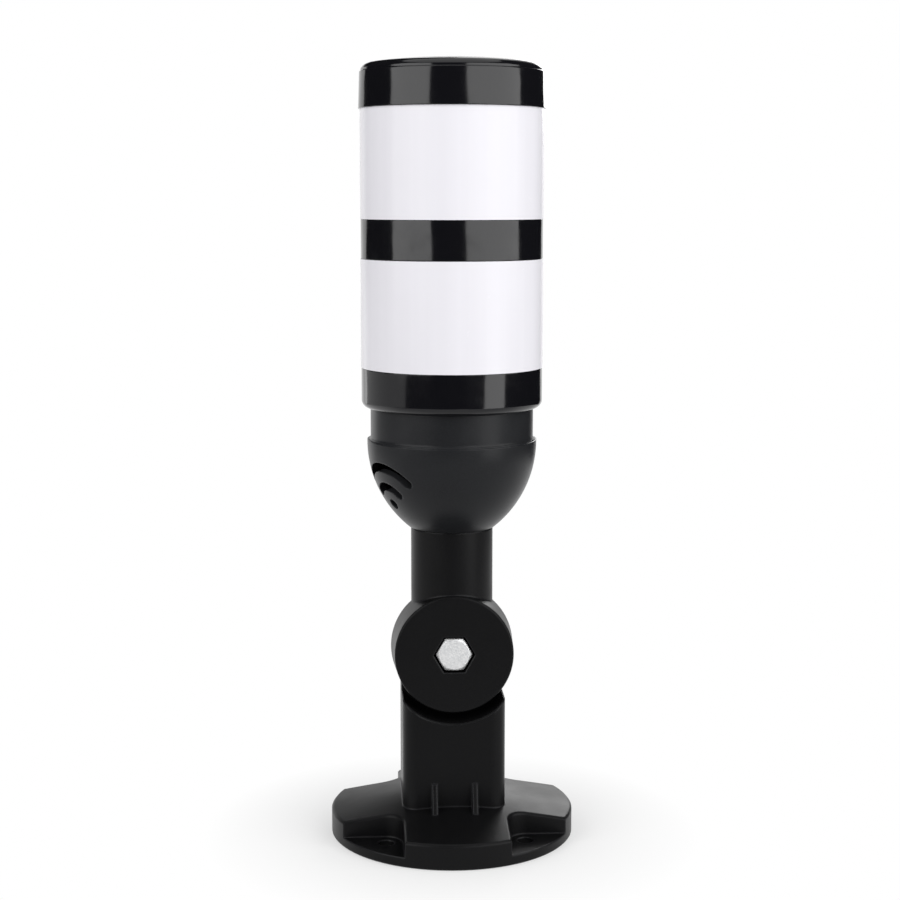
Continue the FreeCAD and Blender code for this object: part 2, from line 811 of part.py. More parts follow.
def sounder_housing():
    body = new_body("sounder_housing")
    section = new_sketch(body, "housing_section", "XZ_Plane")
    lip = half("housing_lip_diameter")
    foot = half("housing_foot_diameter")
    curve = "dims.housing_curve"
    wall = "dims.housing_wall"
    seat = "(dims.housing_height - dims.spigot_length - dims.fit_clearance)"
    well = "(dims.neck_nut_flats / sqrt(3) + dims.neck_nut_room)"
    outline(section, [
        (half("stub_diameter"), "0"),
        (foot, "0", curve),
        (lip, "dims.housing_height"),
        (HOUSING_MOUTH, "dims.housing_height"),
        (HOUSING_MOUTH, seat, f"-({curve} - {wall})"),
        (well, "dims.housing_floor"),
        (half("stub_diameter"), "dims.housing_floor"),
    ])
    revolve(body, section)
    foot_radius = value_of(foot)
    lower = edges_where(body, lambda point: is_near(point.z, 0) and is_near(radius_at(point), foot_radius))
    fillet_edges(body, "housing_foot_fillet", "dims.housing_foot_fillet", lower)
    sound_slots(body)
    return node(body, "sounder_housing", NECK_TOP)


def collar_screw_boss(body, name, bottom, height, start_angle):
    """Three bosses round the collar's bore, each with a screw's pilot hole."""
    place = shift("0", "0", bottom)
    boss = new_sketch(body, name, "XY_Plane", place)
    x_place = f"dims.boss_circle / 2 * cos({start_angle})"
    y_place = f"dims.boss_circle / 2 * sin({start_angle})"
    circle(boss, half("boss_diameter"), x_place, y_place)
    around(body, pad(body, boss, height), 3)
    hole = new_sketch(body, name + "_hole", "XY_Plane", place)
    circle(hole, half("small_screw_diameter"), x_place, y_place)
    around(body, pocket(body, hole, height, reverse=True), 3)


def collar():
    """The ring between housing and lamp. Its spigot drops into the housing's mouth."""
    body = new_body("collar")
    section = new_sketch(body, "collar_section", "XZ_Plane")
    outer = half("collar_diameter")
    spigot = f"({HOUSING_MOUTH} - dims.fit_clearance)"
    bore = COLLAR_BORE
    ledge = f"({COLLAR_BORE} - dims.ledge_width)"
    outline(section, [
        (ledge, "-dims.spigot_length"),
        (spigot, "-dims.spigot_length"),
        (spigot, "0"),
        (f"({outer} + dims.collar_flare)", "0", "-dims.collar_flare_height"),
        (outer, "dims.collar_flare_height"),
        (outer, "dims.collar_height"),
        (bore, "dims.collar_height"),
        (bore, "dims.ledge_height"),
        (ledge, "dims.ledge_height"),
    ])
    revolve(body, section)
    height = "dims.boss_drop + dims.ledge_height"
    collar_screw_boss(body, "board_boss", "-dims.boss_drop", height, 30)
    top = "(dims.collar_height - dims.ring_boss_height)"
    collar_screw_boss(body, "ring_boss", top, "dims.ring_boss_height", 90)
    return node(body, "collar", HOUSING_TOP)


def small_screws(name, seat, start_angle):
    """Three pan head screws whose heads bear on the given level."""
    screws = []
    for turn in range(3):
        angle = start_angle + 120 * turn
        x_place = f"dims.boss_circle / 2 * cos({angle})"
        y_place = f"dims.boss_circle / 2 * sin({angle})"
        head = rod(f"{name}_head_{turn}", half("small_screw_head"), "dims.small_screw_head_height",
                   x_place, y_place, seat)
        shank = rod(f"{name}_shank_{turn}", half("small_screw_diameter"), "dims.small_screw_length",
                    x_place, y_place, f"{seat} - dims.small_screw_length")
        screws.append(fuse(f"{name}_{turn}", [head, shank]))
    return group(name, screws)


# ---------------------------------------------------------------- rings, lenses, cap and seals


def spigot_points(top, rising):
    """The outline of a lens spigot with its seal's groove, from its root at the ring's end."""
    way = 1 if rising else -1
    groove = "dims.seal_thickness"
    low = f"({top} + {way} * (dims.spigot_rise - {groove}) / 2)"
    high = f"({top} + {way} * (dims.spigot_rise + {groove}) / 2)"
    tip = f"({top} + {way} * dims.spigot_rise)"
    bottom_of_groove = f"({SEAL_MIDDLE} - dims.seal_thickness / 2)"
    return [
        (SPIGOT_OUTER, top),
        (SPIGOT_OUTER, low),
        (bottom_of_groove, low),
        (bottom_of_groove, high),
        (SPIGOT_OUTER, high),
        (SPIGOT_OUTER, tip),
        (SPIGOT_INNER, tip),
    ]


def centre_slot(body, name, bottom):
    """The window in a ring's web for the plug between tiers."""
    sketch = new_sketch(body, name, "XY_Plane", shift("0", "0", bottom))
    x_far = "(dims.header_width / 2 + dims.fit_clearance)"
    y_far = "(dims.header_depth / 2 + dims.fit_clearance)"
    rectangle(sketch, f"-{x_far}", x_far, f"-{y_far}", y_far)
    pocket(body, sketch, "dims.web_thickness", reverse=True)


def base_ring():
    body = new_body("base_ring")
    section = new_sketch(body, "base_ring_section", "XZ_Plane")
    outer = half("ring_diameter")
    curve = "dims.ring_curve"
    top = "dims.base_ring_height"
    outline(section, [
        ("0", "0"),
        (f"({outer} - {curve})", "0", curve),
        (outer, curve),
        (outer, top),
        *spigot_points(top, True),
        (SPIGOT_INNER, "dims.web_thickness"),
        ("0", "dims.web_thickness"),
    ])
    revolve(body, section)
    centre_slot(body, "base_ring_slot", "0")
    hole = new_sketch(body, "base_ring_hole", "XY_Plane")
    circle(hole, "dims.small_screw_diameter / 2", "0", half("boss_circle"))
    around(body, pocket(body, hole, "dims.web_thickness", reverse=True), 3)
    return node(body, "base_ring", COLLAR_TOP)


def middle_ring():
    body = new_body("middle_ring")
    section = new_sketch(body, "middle_ring_section", "XZ_Plane")
    outer = half("ring_diameter")
    top = "dims.middle_ring_height"
    web_low = f"(({top} - dims.web_thickness) / 2)"
    web_high = f"(({top} + dims.web_thickness) / 2)"
    lower = list(reversed(spigot_points("0", False)))
    outline(section, [
        ("0", web_low),
        (SPIGOT_INNER, web_low),
        *lower,
        (outer, "0"),
        (outer, top),
        *spigot_points(top, True),
        (SPIGOT_INNER, web_high),
        ("0", web_high),
    ])
    revolve(body, section)
    centre_slot(body, "middle_ring_slot", web_low)
    return node(body, "middle_ring", LOWER_LENS_TOP)


def lens(name, level):
    outer = half("lens_diameter")
    inner = f"({outer} - dims.lens_wall)"
    return turned(name, [
        (inner, "0"),
        (outer, "0"),
        (outer, "dims.lens_height"),
        (inner, "dims.lens_height"),
    ], level)


def top_cap():
    """A drafted skirt, a fine step, a round shoulder and a shallow crown."""
    rim = half("cap_diameter")
    neck = f"({rim} - dims.cap_top_inset)"
    crown = half("cap_crown_diameter")
    skirt = "dims.cap_skirt_height"
    above_step = f"({skirt} + dims.cap_step)"
    inset = f"({neck} - dims.cap_step_width)"
    shoulder = "(dims.cap_height - dims.cap_crown_rise)"
    crown_radius = f"(({crown}^2 + dims.cap_crown_rise^2) / (2 * dims.cap_crown_rise))"
    wall = "dims.cap_wall"
    lower = list(reversed(spigot_points("0", False)))
    return turned("top_cap", [
        (SPIGOT_INNER, f"{skirt} - {wall}"),
        *lower,
        (rim, "0"),
        (neck, skirt),
        (inset, f"({skirt} + dims.cap_step_width / 2)"),
        (inset, above_step, "dims.cap_shoulder_radius"),
        (crown, shoulder, crown_radius),
        ("0", "dims.cap_height"),
        ("0", f"dims.cap_height - {wall}"),
        (f"({SPIGOT_INNER} - {wall})", f"{shoulder} - {wall}"),
    ], UPPER_LENS_TOP)


def seal(name, level):
    """A ring seal of round section in a spigot's groove."""
    ring = doc.addObject("Part::Torus", name)
    set_expressions(ring, Radius1=SEAL_MIDDLE, Radius2="dims.seal_thickness / 2")
    return node(ring, name, level)


# ---------------------------------------------------------------- boards and lamps


def driver_board():
    body = new_body("driver_board")
    disc = new_sketch(body, "driver_board_disc", "XY_Plane")
    circle(disc, half("driver_board_diameter"))
    pad(body, disc, "dims.board_thickness")
    hole = new_sketch(body, "driver_board_hole", "XY_Plane")
    along = "dims.boss_circle / 2"
    circle(hole, half("small_screw_diameter"), f"{along} * cos(30)", f"{along} * sin(30)")
    around(body, pocket(body, hole, "dims.board_thickness", reverse=True), 3)
    return node(body, "driver_board", DRIVER_BOARD)


def sounder():
    can = rod("sounder_can", half("sounder_diameter"), "dims.sounder_height",
              "0", "-dims.sounder_offset", f"{DRIVER_BOARD} - dims.sounder_height")
    port = rod("sounder_port_hole", half("sounder_port"), "dims.sounder_port",
               "0", "-dims.sounder_offset", f"{DRIVER_BOARD} - dims.sounder_height")
    return node(cut("sounder", can, port), "sounder")


def terminal_block():
    """A screw terminal block that hangs below the driver board, with a wire way to each screw."""
    bottom = f"({DRIVER_BOARD} - dims.terminal_height)"
    shell = block("terminal_shell", "dims.terminal_width", "dims.terminal_depth", "dims.terminal_height",
                  "0", "dims.terminal_offset", bottom)
    ways = []
    count = round(value_of("dims.terminal_ways"))
    for number in range(count):
        x_place = f"(dims.terminal_width / {count} * ({number} - {(count - 1) / 2}))"
        ways.append(block(f"terminal_way_{number}", f"dims.terminal_width / {count} * 0.6",
                          "dims.terminal_depth / 2", "dims.terminal_height / 2",
                          x_place, "dims.terminal_offset", bottom))
    return node(cut("terminal_block", shell, fuse("terminal_ways_cut", ways)), "terminal_block")


def driver_parts():
    """Capacitors and drivers on top of the board, clear of the link header."""
    top = f"({DRIVER_BOARD} + dims.board_thickness)"
    items = []
    for side in (-1, 1):
        items.append(rod(f"capacitor_{side + 1}", half("capacitor_diameter"), "dims.capacitor_height",
                         f"dims.header_width * {side}", "0", top))
        items.append(block(f"chip_{side + 1}", "dims.chip_length", "dims.chip_width", "dims.chip_height",
                           "0", f"(dims.header_depth / 2 + dims.chip_width) * {side}", top))
    return group("driver_parts", items)


def link_header():
    """The socket that carries the supply from the driver board up to the first tier."""
    top = f"({DRIVER_BOARD} + dims.board_thickness)"
    height = f"({BASE_WEB_TOP} - {top})"
    item = block("link_header", "dims.header_width", "dims.header_depth", height, "0", "0", top)
    return node(item, "link_header")


def tier(name, web_top):
    """One tier's boards, lamps and plug, standing on a ring's web."""
    base = rod(f"{name}_base_board", half("base_board_diameter"), "dims.board_thickness", "0", "0", web_top)
    node(base, f"{name}_base_board")
    board_level = f"({web_top} + dims.board_thickness)"
    board = block(f"{name}_led_board", "dims.led_board_width", "dims.board_thickness", LED_BOARD_HEIGHT,
                  "0", "0", board_level)
    node(board, f"{name}_led_board")
    lamps = []
    face = "(dims.board_thickness / 2 + dims.led_height / 2)"
    for side in (-1, 1):
        for column in (-1, 0, 1):
            for row in range(4):
                lamps.append(block(
                    f"{name}_led_{side + 1}_{column + 1}_{row}", "dims.led_size", "dims.led_height",
                    "dims.led_size", f"(dims.led_pitch_across * {column})", f"({face} * {side})",
                    f"{board_level} + {LED_BOARD_HEIGHT} / 2"
                    f" + dims.led_pitch_up * {row - 1.5} - dims.led_size / 2"))
    group(f"{name}_leds", lamps)
    plug = block(f"{name}_connector", "dims.header_width", "dims.header_depth", "dims.connector_height",
                 "0", "0", f"{board_level} + {LED_BOARD_HEIGHT}")
    node(plug, f"{name}_connector")


# ---------------------------------------------------------------- build, check and write


def build_all():
    base_bracket()
    fold_arm()
    joint_bolt()
    joint_hardware()
    neck_nut()
    sounder_housing()
    collar()
    base_ring()
    lens("lower_lens", BASE_RING_TOP)
    middle_ring()
    lens("upper_lens", MIDDLE_RING_TOP)
    top_cap()
    middle = "dims.spigot_rise / 2"
    seal("seal_1", f"{BASE_RING_TOP} + {middle}")
    seal("seal_2", f"{LOWER_LENS_TOP} - {middle}")
    seal("seal_3", f"{MIDDLE_RING_TOP} + {middle}")
    seal("seal_4", f"{UPPER_LENS_TOP} - {middle}")
    driver_board()
    sounder()
    terminal_block()
    driver_parts()
    link_header()
    small_screws("board_screws", f"({DRIVER_BOARD} + dims.board_thickness)", 30)
    small_screws("ring_screws", BASE_WEB_TOP, 90)
    tier("lower", BASE_WEB_TOP)
    tier("upper", MIDDLE_WEB_TOP)


def check_and_write():
    doc.recompute()
    for item in doc.Objects:
        if "Invalid" in item.State or "Error" in item.State:
            raise RuntimeError(f"{item.Label} did not build: {item.State}")
    os.makedirs("parts", exist_ok=True)
    for item in nodes:
        if item.Shape.isNull() or not item.Shape.isValid():
            raise RuntimeError(f"{item.Label} is not a sound solid")
    for item in nodes:
        item.Shape.exportStep(os.path.join("parts", item.Label + ".step"))
        print(item.Label, len(item.Shape.Solids), round(item.Shape.Volume, 1), item.Shape.BoundBox)


build_all()
check_and_write()
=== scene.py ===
"""Finishes, small parts and studio for a two-tier stack light on a folding foot."""
import json
import math

import bmesh
import bpy
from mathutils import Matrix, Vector


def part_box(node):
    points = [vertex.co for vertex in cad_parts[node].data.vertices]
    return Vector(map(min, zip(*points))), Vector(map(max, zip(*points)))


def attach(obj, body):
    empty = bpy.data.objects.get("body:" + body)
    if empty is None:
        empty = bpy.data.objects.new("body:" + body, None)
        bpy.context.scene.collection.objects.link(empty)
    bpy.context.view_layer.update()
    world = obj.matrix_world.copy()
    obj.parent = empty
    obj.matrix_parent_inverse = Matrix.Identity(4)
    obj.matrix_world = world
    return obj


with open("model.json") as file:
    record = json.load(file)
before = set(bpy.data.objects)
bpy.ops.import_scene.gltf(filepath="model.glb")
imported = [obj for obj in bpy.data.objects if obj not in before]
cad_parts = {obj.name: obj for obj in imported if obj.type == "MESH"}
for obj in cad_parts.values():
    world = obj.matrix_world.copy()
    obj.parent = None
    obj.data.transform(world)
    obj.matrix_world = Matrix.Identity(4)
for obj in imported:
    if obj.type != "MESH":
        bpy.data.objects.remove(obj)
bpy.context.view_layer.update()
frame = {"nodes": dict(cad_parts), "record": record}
NODES = frame["nodes"]
SLOT_COLOURS = {row["slot"]: tuple(row["base_color"]) for row in frame["record"]["materials"]}

bl_info = {
    "name": "Stack light",
    "version": (1, 0, 0),
    "blender": (4, 5, 0),
    "location": "3D view > Sidebar > Stack light",
    "description": "Finishes, small parts and studio for a two-tier stack light",
    "category": "Object",
}


# ---------------------------------------------------------------- what a user would change


def colour(name, description, slot):
    """A colour whose default is the record's for that slot."""
    return bpy.props.FloatVectorProperty(
        name=name, description=description, default=SLOT_COLOURS[slot],
        subtype="COLOR", size=3, min=0.0, max=1.0)


def length(name, description, default):
    """A length in metres, never below zero."""
    return bpy.props.FloatProperty(
        name=name, description=description, default=default,
        subtype="DISTANCE", unit="LENGTH", min=0.0, precision=5)


def number(name, description, default, low=0.0):
    """A brightness or a shift, or a place in metres that may lie below zero."""
    return bpy.props.FloatProperty(name=name, description=description, default=default, min=low)


def turn(name, description, degrees):
    """An angle, written in degrees and kept in radians."""
    return bpy.props.FloatProperty(
        name=name, description=description, default=math.radians(degrees),
        subtype="ANGLE", unit="ROTATION")


class StackLightColours(bpy.types.PropertyGroup):
    """The colour of each finish."""

    matte_black: colour("Matte black", "Foot, pillar and fold", "matte_black")
    satin_charcoal: colour("Satin charcoal", "Sounder housing and collar", "satin_charcoal")
    gloss_black: colour("Gloss black", "Cap and rings", "gloss_black")
    milk_white: colour("Milk white", "Lenses", "milk_white")
    zinc: colour("Zinc", "Bolt, nut, washers and screws", "zinc")
    nut_plastic: colour("Nylon", "Neck nut", "nut_plastic")
    seal_rubber: colour("Rubber", "Seals", "seal_rubber")
    board_green: colour("Green board", "Driver board and base boards", "board_green")
    board_white: colour("White board", "Lamp boards", "board_white")
    led_lens: colour("Phosphor", "Lamp resin", "led_lens")
    plug_cream: colour("Plug cream", "Connectors", "plug_cream")
    sounder_black: colour("Sounder black", "Sounder case", "sounder_black")
    component_black: colour("Component black", "Parts on the driver board", "component_black")
    terminal_green: colour("Terminal green", "Terminal block", "terminal_green")


class StackLightSizes(bpy.types.PropertyGroup):
    """The sizes of the textures and of the small parts."""

    grain_size: length("Grain size", "Distance between grains of the matte mouldings", 0.00042)
    grain_depth: length("Grain depth", "Depth of the matte mouldings' grain", 0.00002)
    satin_grain: length("Satin grain", "Distance between grains of the sounder housing", 0.0003)
    wave_size: length("Wave size", "Distance between the waves in polished walls", 0.011)
    wave_depth: length("Wave depth", "Height of the waves in polished walls", 0.00022)
    edge_radius: length("Edge radius", "Softening of the moulded edges", 0.0008)
    fine_depth: length("Fine depth", "Depth of the grain on the small inner mouldings", 0.00001)
    zinc_grain: length("Zinc grain", "Distance between crystals of the zinc plate", 0.00035)
    zinc_depth: length("Zinc depth", "Depth of the zinc plate's grain", 0.00001)
    track_grid: length("Track grid", "Distance between the boards' copper tracks", 0.0025)
    track_height: length("Track height", "How far a track lifts the solder mask", 0.00003)
    phosphor_radius: length("Phosphor radius", "Radius of the round window in each lamp", 0.0019)
    phosphor_rise: length("Phosphor rise", "How far the resin stands above each lamp", 0.00025)
    flute_depth: length("Flute depth", "Depth of the prisms inside each lens", 0.0006)
    flute_inset: length("Flute inset", "From a lens's outer wall to the middle of a prism", 0.0022)
    flute_gap: length("Flute gap", "Between the ends of the prisms and the rings", 0.0005)
    flute_count: bpy.props.IntProperty(
        name="Flutes", description="Prisms round the inside of each lens",
        default=72, min=8, max=180)


class StackLightStudio(bpy.types.PropertyGroup):
    """The camera, the lamps, the curtains and the floor."""

    camera_distance: length("Camera distance", "From the upright axis, along the floor", 0.496)
    camera_height: length("Camera height", "Above the underside of the foot", 0.1783)
    camera_turn: turn("Camera turn", "Round the upright axis, from the front", -3.4)
    aim_height: length("Aim height", "Height on the axis at the camera's centre line", 0.1149)
    aim_side: number(
        "Aim side", "How far the centre line passes to the left of the axis", 0.0005, -0.01)
    lens_length: bpy.props.FloatProperty(
        name="Lens", description="Focal length", default=72.2, subtype="DISTANCE_CAMERA", min=10.0)
    shift: number("Shift", "Upward shift of the camera, in picture widths", -0.0255, -0.1)
    box_radiance: number("Softbox brightness", "Brightness of the two large softboxes", 2.5)
    box_top: length("Softbox top", "Upper edge of the large softboxes", 1.1)
    box_split: length(
        "Softbox split", "Lower edge of the large softboxes and upper edge of the low ones", 0.09)
    box_distance: length("Softbox distance", "From the axis to each softbox", 0.95)
    left_turn: turn("Left softbox", "Middle of the left softbox, from the front", -55.5)
    left_spread: turn("Left spread", "Half width of the left softbox", 26.5)
    right_turn: turn("Right softbox", "Middle of the right softbox, from the front", 51.5)
    right_spread: turn("Right spread", "Half width of the right softbox", 36.5)
    low_bottom: number("Low softbox foot", "Lower edge of the low softboxes", -0.15, -1.0)
    low_left_turn: turn(
        "Low left softbox", "Middle of the low left softbox, from the front", -105.0)
    low_left_spread: turn("Low left spread", "Half width of the low left softbox", 42.0)
    low_left_radiance: number("Low left brightness", "Brightness of the low left softbox", 0.62)
    low_right_turn: turn(
        "Low right softbox", "Middle of the low right softbox, from the front", 52.0)
    low_right_spread: turn("Low right spread", "Half width of the low right softbox", 14.0)
    rim_turn: turn("Rim lamp", "Middle of the lamp behind on the right, from the front", 161.0)
    rim_spread: turn("Rim spread", "Half width of the lamp behind on the right", 11.0)
    rim_bottom: length("Rim lamp foot", "Lower edge of the lamp behind on the right", 0.24)
    rim_top: length("Rim lamp top", "Upper edge of the lamp behind on the right", 0.6)
    rim_radiance: number("Rim brightness", "Brightness of the lamp behind on the right", 3.3)
    fill: number("Fill", "Brightness of the soft light from all round", 0.38)
    floor_reach: length("Floor reach", "Radius of the floor", 0.45)
    floor_drop: length("Floor drop", "How far the floor lies below the foot", 0.0002)
    curtain_distance: length(
        "Curtain distance", "From the axis to the dark curtains behind the softboxes", 1.3)
    curtain_top: length("Curtain top", "Upper edge of both curtains", 2.2)
    curtain_bottom: number("Curtain foot", "Lower edge of the main curtain", -0.8, -2.0)
    high_curtain: length("High curtain", "Lower edge of the curtain behind on the left", 0.55)
    curtain_left: turn(
        "Curtain end, left", "Where the main curtain ends on the left, from the front", -139.0)
    curtain_right: turn(
        "Curtain end, right", "Where the main curtain ends on the right, from the front", 150.0)
    curtain_back: turn(
        "Curtain end, back", "Where the high curtain ends behind, from the front", -184.0)


# ---------------------------------------------------------------- node trees


def place(tree, kind, inputs=None, **settings):
    """Adds a node, gives it its settings, then joins or sets each of its inputs."""
    item = tree.nodes.new(kind)
    for name, value in settings.items():
        setattr(item, name, value)
    for key, value in (inputs or {}).items():
        if isinstance(value, bpy.types.NodeSocket):
            tree.links.new(value, item.inputs[key])
        else:
            item.inputs[key].default_value = value
    return item


def maths(tree, operation, first, second=0.0, clamp=False):
    return place(tree, "ShaderNodeMath", {0: first, 1: second},
                 operation=operation, use_clamp=clamp).outputs[0]


def weighed(tree, first, share, second):
    """The first value by its share plus the second by the rest."""
    return maths(tree, "ADD", maths(tree, "MULTIPLY", first, share),
                 maths(tree, "MULTIPLY", second, 1.0 - share))


def span(tree, value, low, high, to_low=0.0, to_high=1.0):
    """Maps low..high onto to_low..to_high, held at the ends."""
    inputs = {
        "Value": value, "From Min": low, "From Max": high, "To Min": to_low, "To Max": to_high}
    return place(tree, "ShaderNodeMapRange", inputs).outputs["Result"]


def scaled_place(tree, size):
    """Object coordinates divided by a size, so one unit of a texture is that size."""
    where = place(tree, "ShaderNodeTexCoord").outputs["Object"]
    rate = maths(tree, "DIVIDE", 1.0, size)
    return place(tree, "ShaderNodeVectorMath", {0: where, "Scale": rate},
                 operation="SCALE").outputs[0]


def noise(tree, vector, detail, roughness, scale=1.0, distortion=0.0):
    return place(tree, "ShaderNodeTexNoise", {
        "Vector": vector, "Scale": scale, "Detail": detail, "Roughness": roughness,
        "Distortion": distortion}).outputs[0]


def mix(tree, factor, first, second):
    """Mixes two colours. The sockets go by number, because each kind of value has its own."""
    item = place(tree, "ShaderNodeMix", data_type="RGBA")
    for index, value in ((0, factor), (6, first), (7, second)):
        if isinstance(value, bpy.types.NodeSocket):
            tree.links.new(value, item.inputs[index])
        else:
            item.inputs[index].default_value = value
    return item.outputs[2]


def new_group(name, inputs, outputs):
    """An empty shader group with its sockets: the tree, its input node and its output node."""
    tree = bpy.data.node_groups.new(name, "ShaderNodeTree")
    for label, kind, default in inputs:
        socket = tree.interface.new_socket(label, in_out="INPUT", socket_type="NodeSocket" + kind)
        socket.default_value = default
    for label, kind in outputs:
        tree.interface.new_socket(label, in_out="OUTPUT", socket_type="NodeSocket" + kind)
    return tree, tree.nodes.new("NodeGroupInput").outputs, tree.nodes.new("NodeGroupOutput").inputs


def moulded_grain():
    """Fine spark-eroded grain of a matte moulding, with soft cloudiness over it."""
    name = "Moulded grain"
    if name in bpy.data.node_groups:
        return bpy.data.node_groups[name]
    tree, given, made = new_group(
        name,
        [("Size", "Float", 0.0004), ("Cloud Size", "Float", 0.012)],
        [("Height", "Float"), ("Speckle", "Float"), ("Cloud", "Float")])
    vector = scaled_place(tree, given["Size"])
    fine = noise(tree, vector, detail=2.0, roughness=0.6)
    pits = place(tree, "ShaderNodeTexVoronoi", {"Vector": vector, "Scale": 0.8},
                 feature="SMOOTH_F1").outputs["Distance"]
    tree.links.new(weighed(tree, fine, 0.65, pits), made["Height"])
    tree.links.new(span(tree, fine, 0.35, 0.7), made["Speckle"])
    cloud = noise(tree, scaled_place(tree, given["Cloud Size"]), detail=3.0, roughness=0.55)
    tree.links.new(span(tree, cloud, 0.3, 0.7), made["Cloud"])
    return tree


def soft_edges():
    """Rounds the shading over sharp edges, and marks where those edges are."""
    name = "Soft edges"
    if name in bpy.data.node_groups:
        return bpy.data.node_groups[name]
    tree, given, made = new_group(
        name,
        [("Radius", "Float", 0.0004), ("Wear", "Float", 4.0)],
        [("Normal", "Vector"), ("Edge", "Float")])
    rounded = place(tree, "ShaderNodeBevel", {"Radius": given["Radius"]}, samples=8).outputs[0]
    plain = place(tree, "ShaderNodeNewGeometry").outputs["Normal"]
    lean = place(tree, "ShaderNodeVectorMath", {0: rounded, 1: plain},
                 operation="DOT_PRODUCT").outputs["Value"]
    turned = maths(tree, "SUBTRACT", 1.0, lean, clamp=True)
    tree.links.new(rounded, made["Normal"])
    # This factor scales the edge mark, which the finishes use for wear and for painted highlight.
    tree.links.new(maths(tree, "MULTIPLY", turned, given["Wear"], clamp=True), made["Edge"])
    return tree


def settled_dust():
    """A colour with a thin uneven film of dust on its upward faces."""
    name = "Settled dust"
    if name in bpy.data.node_groups:
        return bpy.data.node_groups[name]
    tree, given, made = new_group(
        name,
        [("Colour", "Color", (0.1, 0.1, 0.1, 1.0)), ("Dust", "Color", (0.35, 0.34, 0.32, 1.0)),
         ("Amount", "Float", 0.05), ("Patch Size", "Float", 0.01)],
        [("Colour", "Color"), ("Film", "Float")])
    facing = place(tree, "ShaderNodeNewGeometry").outputs["Normal"]
    rise = place(tree, "ShaderNodeSeparateXYZ", {0: facing}).outputs["Z"]
    upward = span(tree, rise, 0.1, 1.0, to_low=0.15)
    patch = noise(tree, scaled_place(tree, given["Patch Size"]), detail=6.0, roughness=0.65)
    film = maths(tree, "MULTIPLY", upward, span(tree, patch, 0.3, 0.75))
    amount = maths(tree, "MULTIPLY", film, given["Amount"], clamp=True)
    tree.links.new(mix(tree, amount, given["Colour"], given["Dust"]), made["Colour"])
    tree.links.new(film, made["Film"])
    return tree


def polish_waves():
    """Slow waves of a polished moulded wall, and the faint haze of handling on it."""
    name = "Polish waves"
    if name in bpy.data.node_groups:
        return bpy.data.node_groups[name]
    tree, given, made = new_group(
        name,
        [("Size", "Float", 0.01), ("Haze Size", "Float", 0.006)],
        [("Height", "Float"), ("Haze", "Float")])
    wave = noise(tree, scaled_place(tree, given["Size"]), detail=1.0, roughness=0.4)
    tree.links.new(wave, made["Height"])
    haze = noise(tree, scaled_place(tree, given["Haze Size"]),
                 detail=5.0, roughness=0.7, distortion=0.6)
    tree.links.new(span(tree, haze, 0.45, 0.75), made["Haze"])
    return tree


def plate_grain():
    """Bright zinc plate: crystals of slightly different tone under a fine rolled grain."""
    name = "Plate grain"
    if name in bpy.data.node_groups:
        return bpy.data.node_groups[name]
    tree, given, made = new_group(
        name, [("Size", "Float", 0.0003)], [("Height", "Float"), ("Tone", "Float")])
    vector = scaled_place(tree, given["Size"])
    crystal = place(tree, "ShaderNodeTexVoronoi", {
        "Vector": vector, "Scale": 1.0, "Randomness": 1.0}).outputs["Color"]
    tone = place(tree, "ShaderNodeSeparateColor", {0: crystal}).outputs[0]
    fine = noise(tree, vector, detail=3.0, roughness=0.7, scale=2.5)
    tree.links.new(weighed(tree, fine, 0.6, tone), made["Height"])
    tree.links.new(tone, made["Tone"])
    return tree


def new_material(name, **fixed):
    """A material with a Principled shader whose even values are set on its own sockets."""
    made = bpy.data.materials.new(name)
    made.use_nodes = True
    shader = made.node_tree.nodes["Principled BSDF"]
    for label, value in fixed.items():
        shader.inputs[label.replace("_", " ")].default_value = value
    return made, made.node_tree, shader.inputs


def group_node(tree, group, **inputs):
    """Places a shader group with its own values and gives back its outputs."""
    item = place(tree, "ShaderNodeGroup", node_tree=group)
    for label, value in inputs.items():
        socket = item.inputs[label.replace("_", " ")]
        if isinstance(value, bpy.types.NodeSocket):
            tree.links.new(value, socket)
        else:
            socket.default_value = value
    return item.outputs


def opaque(rgb, factor=1.0):
    """A colour made paler or darker by a factor, with full alpha."""
    return (*[min(1.0, channel * factor) for channel in rgb], 1.0)


def raise_surface(tree, sockets, height, distance, normal=None):
    """Feeds a height through a Bump node to the shader's normal."""
    inputs = {"Height": height, "Distance": distance, "Strength": 1.0}
    if normal is not None:
        inputs["Normal"] = normal
    bump = place(tree, "ShaderNodeBump", inputs)
    tree.links.new(bump.outputs[0], sockets["Normal"])


# ---------------------------------------------------------------- finishes

# A tone is a factor on the finish's own colour, and a share is how much of a mix it takes.
# A pair of roughnesses gives the two ends that a finish varies between. The milk's wave size and
# depth are factors on those of the polished walls.
PIT_TONE, PEAK_TONE = 0.85, 1.2
CLOUD_TONE, CLOUD_SHARE = 1.35, 0.35
# Share of the paler edge colour, which is partly wear and partly a painted highlight on edges.
RUB_AND_HIGHLIGHT_SHARE = 0.5
RUB_SMOOTHING = 0.12
CLEAR_ROUGHNESS, CLOUD_ROUGHNESS = -0.03, 0.05
POLISHED_TONE = 0.5
POLISHED_ROUGHNESS = (0.1, 0.17)
POLISHED_DUST_PATCH = 0.006
MILK_TINT = (0.905, 0.882, 0.912)
MILK_STREAKS = (0.98, 1.01)
MILK_HAZE_TONE, MILK_HAZE_SHARE = 0.985, 0.3
MILK_ROUGHNESS = (0.2, 0.3)
MILK_FLOW_LINES = 3.0
MILK_WAVE_SIZE, MILK_WAVE_DEPTH = 1.6, 0.03
ZINC_TONES = (1.15, 1.45)
ZINC_ROUGHNESS = (0.46, 0.58)
TRACK_EDGE = (0.06, 0.1)
BOARD_ROUGHNESS = (0.38, 0.28)
GREEN_TRACK, WHITE_TRACK = (0.07, 0.3, 0.1), (0.7, 0.7, 0.66)


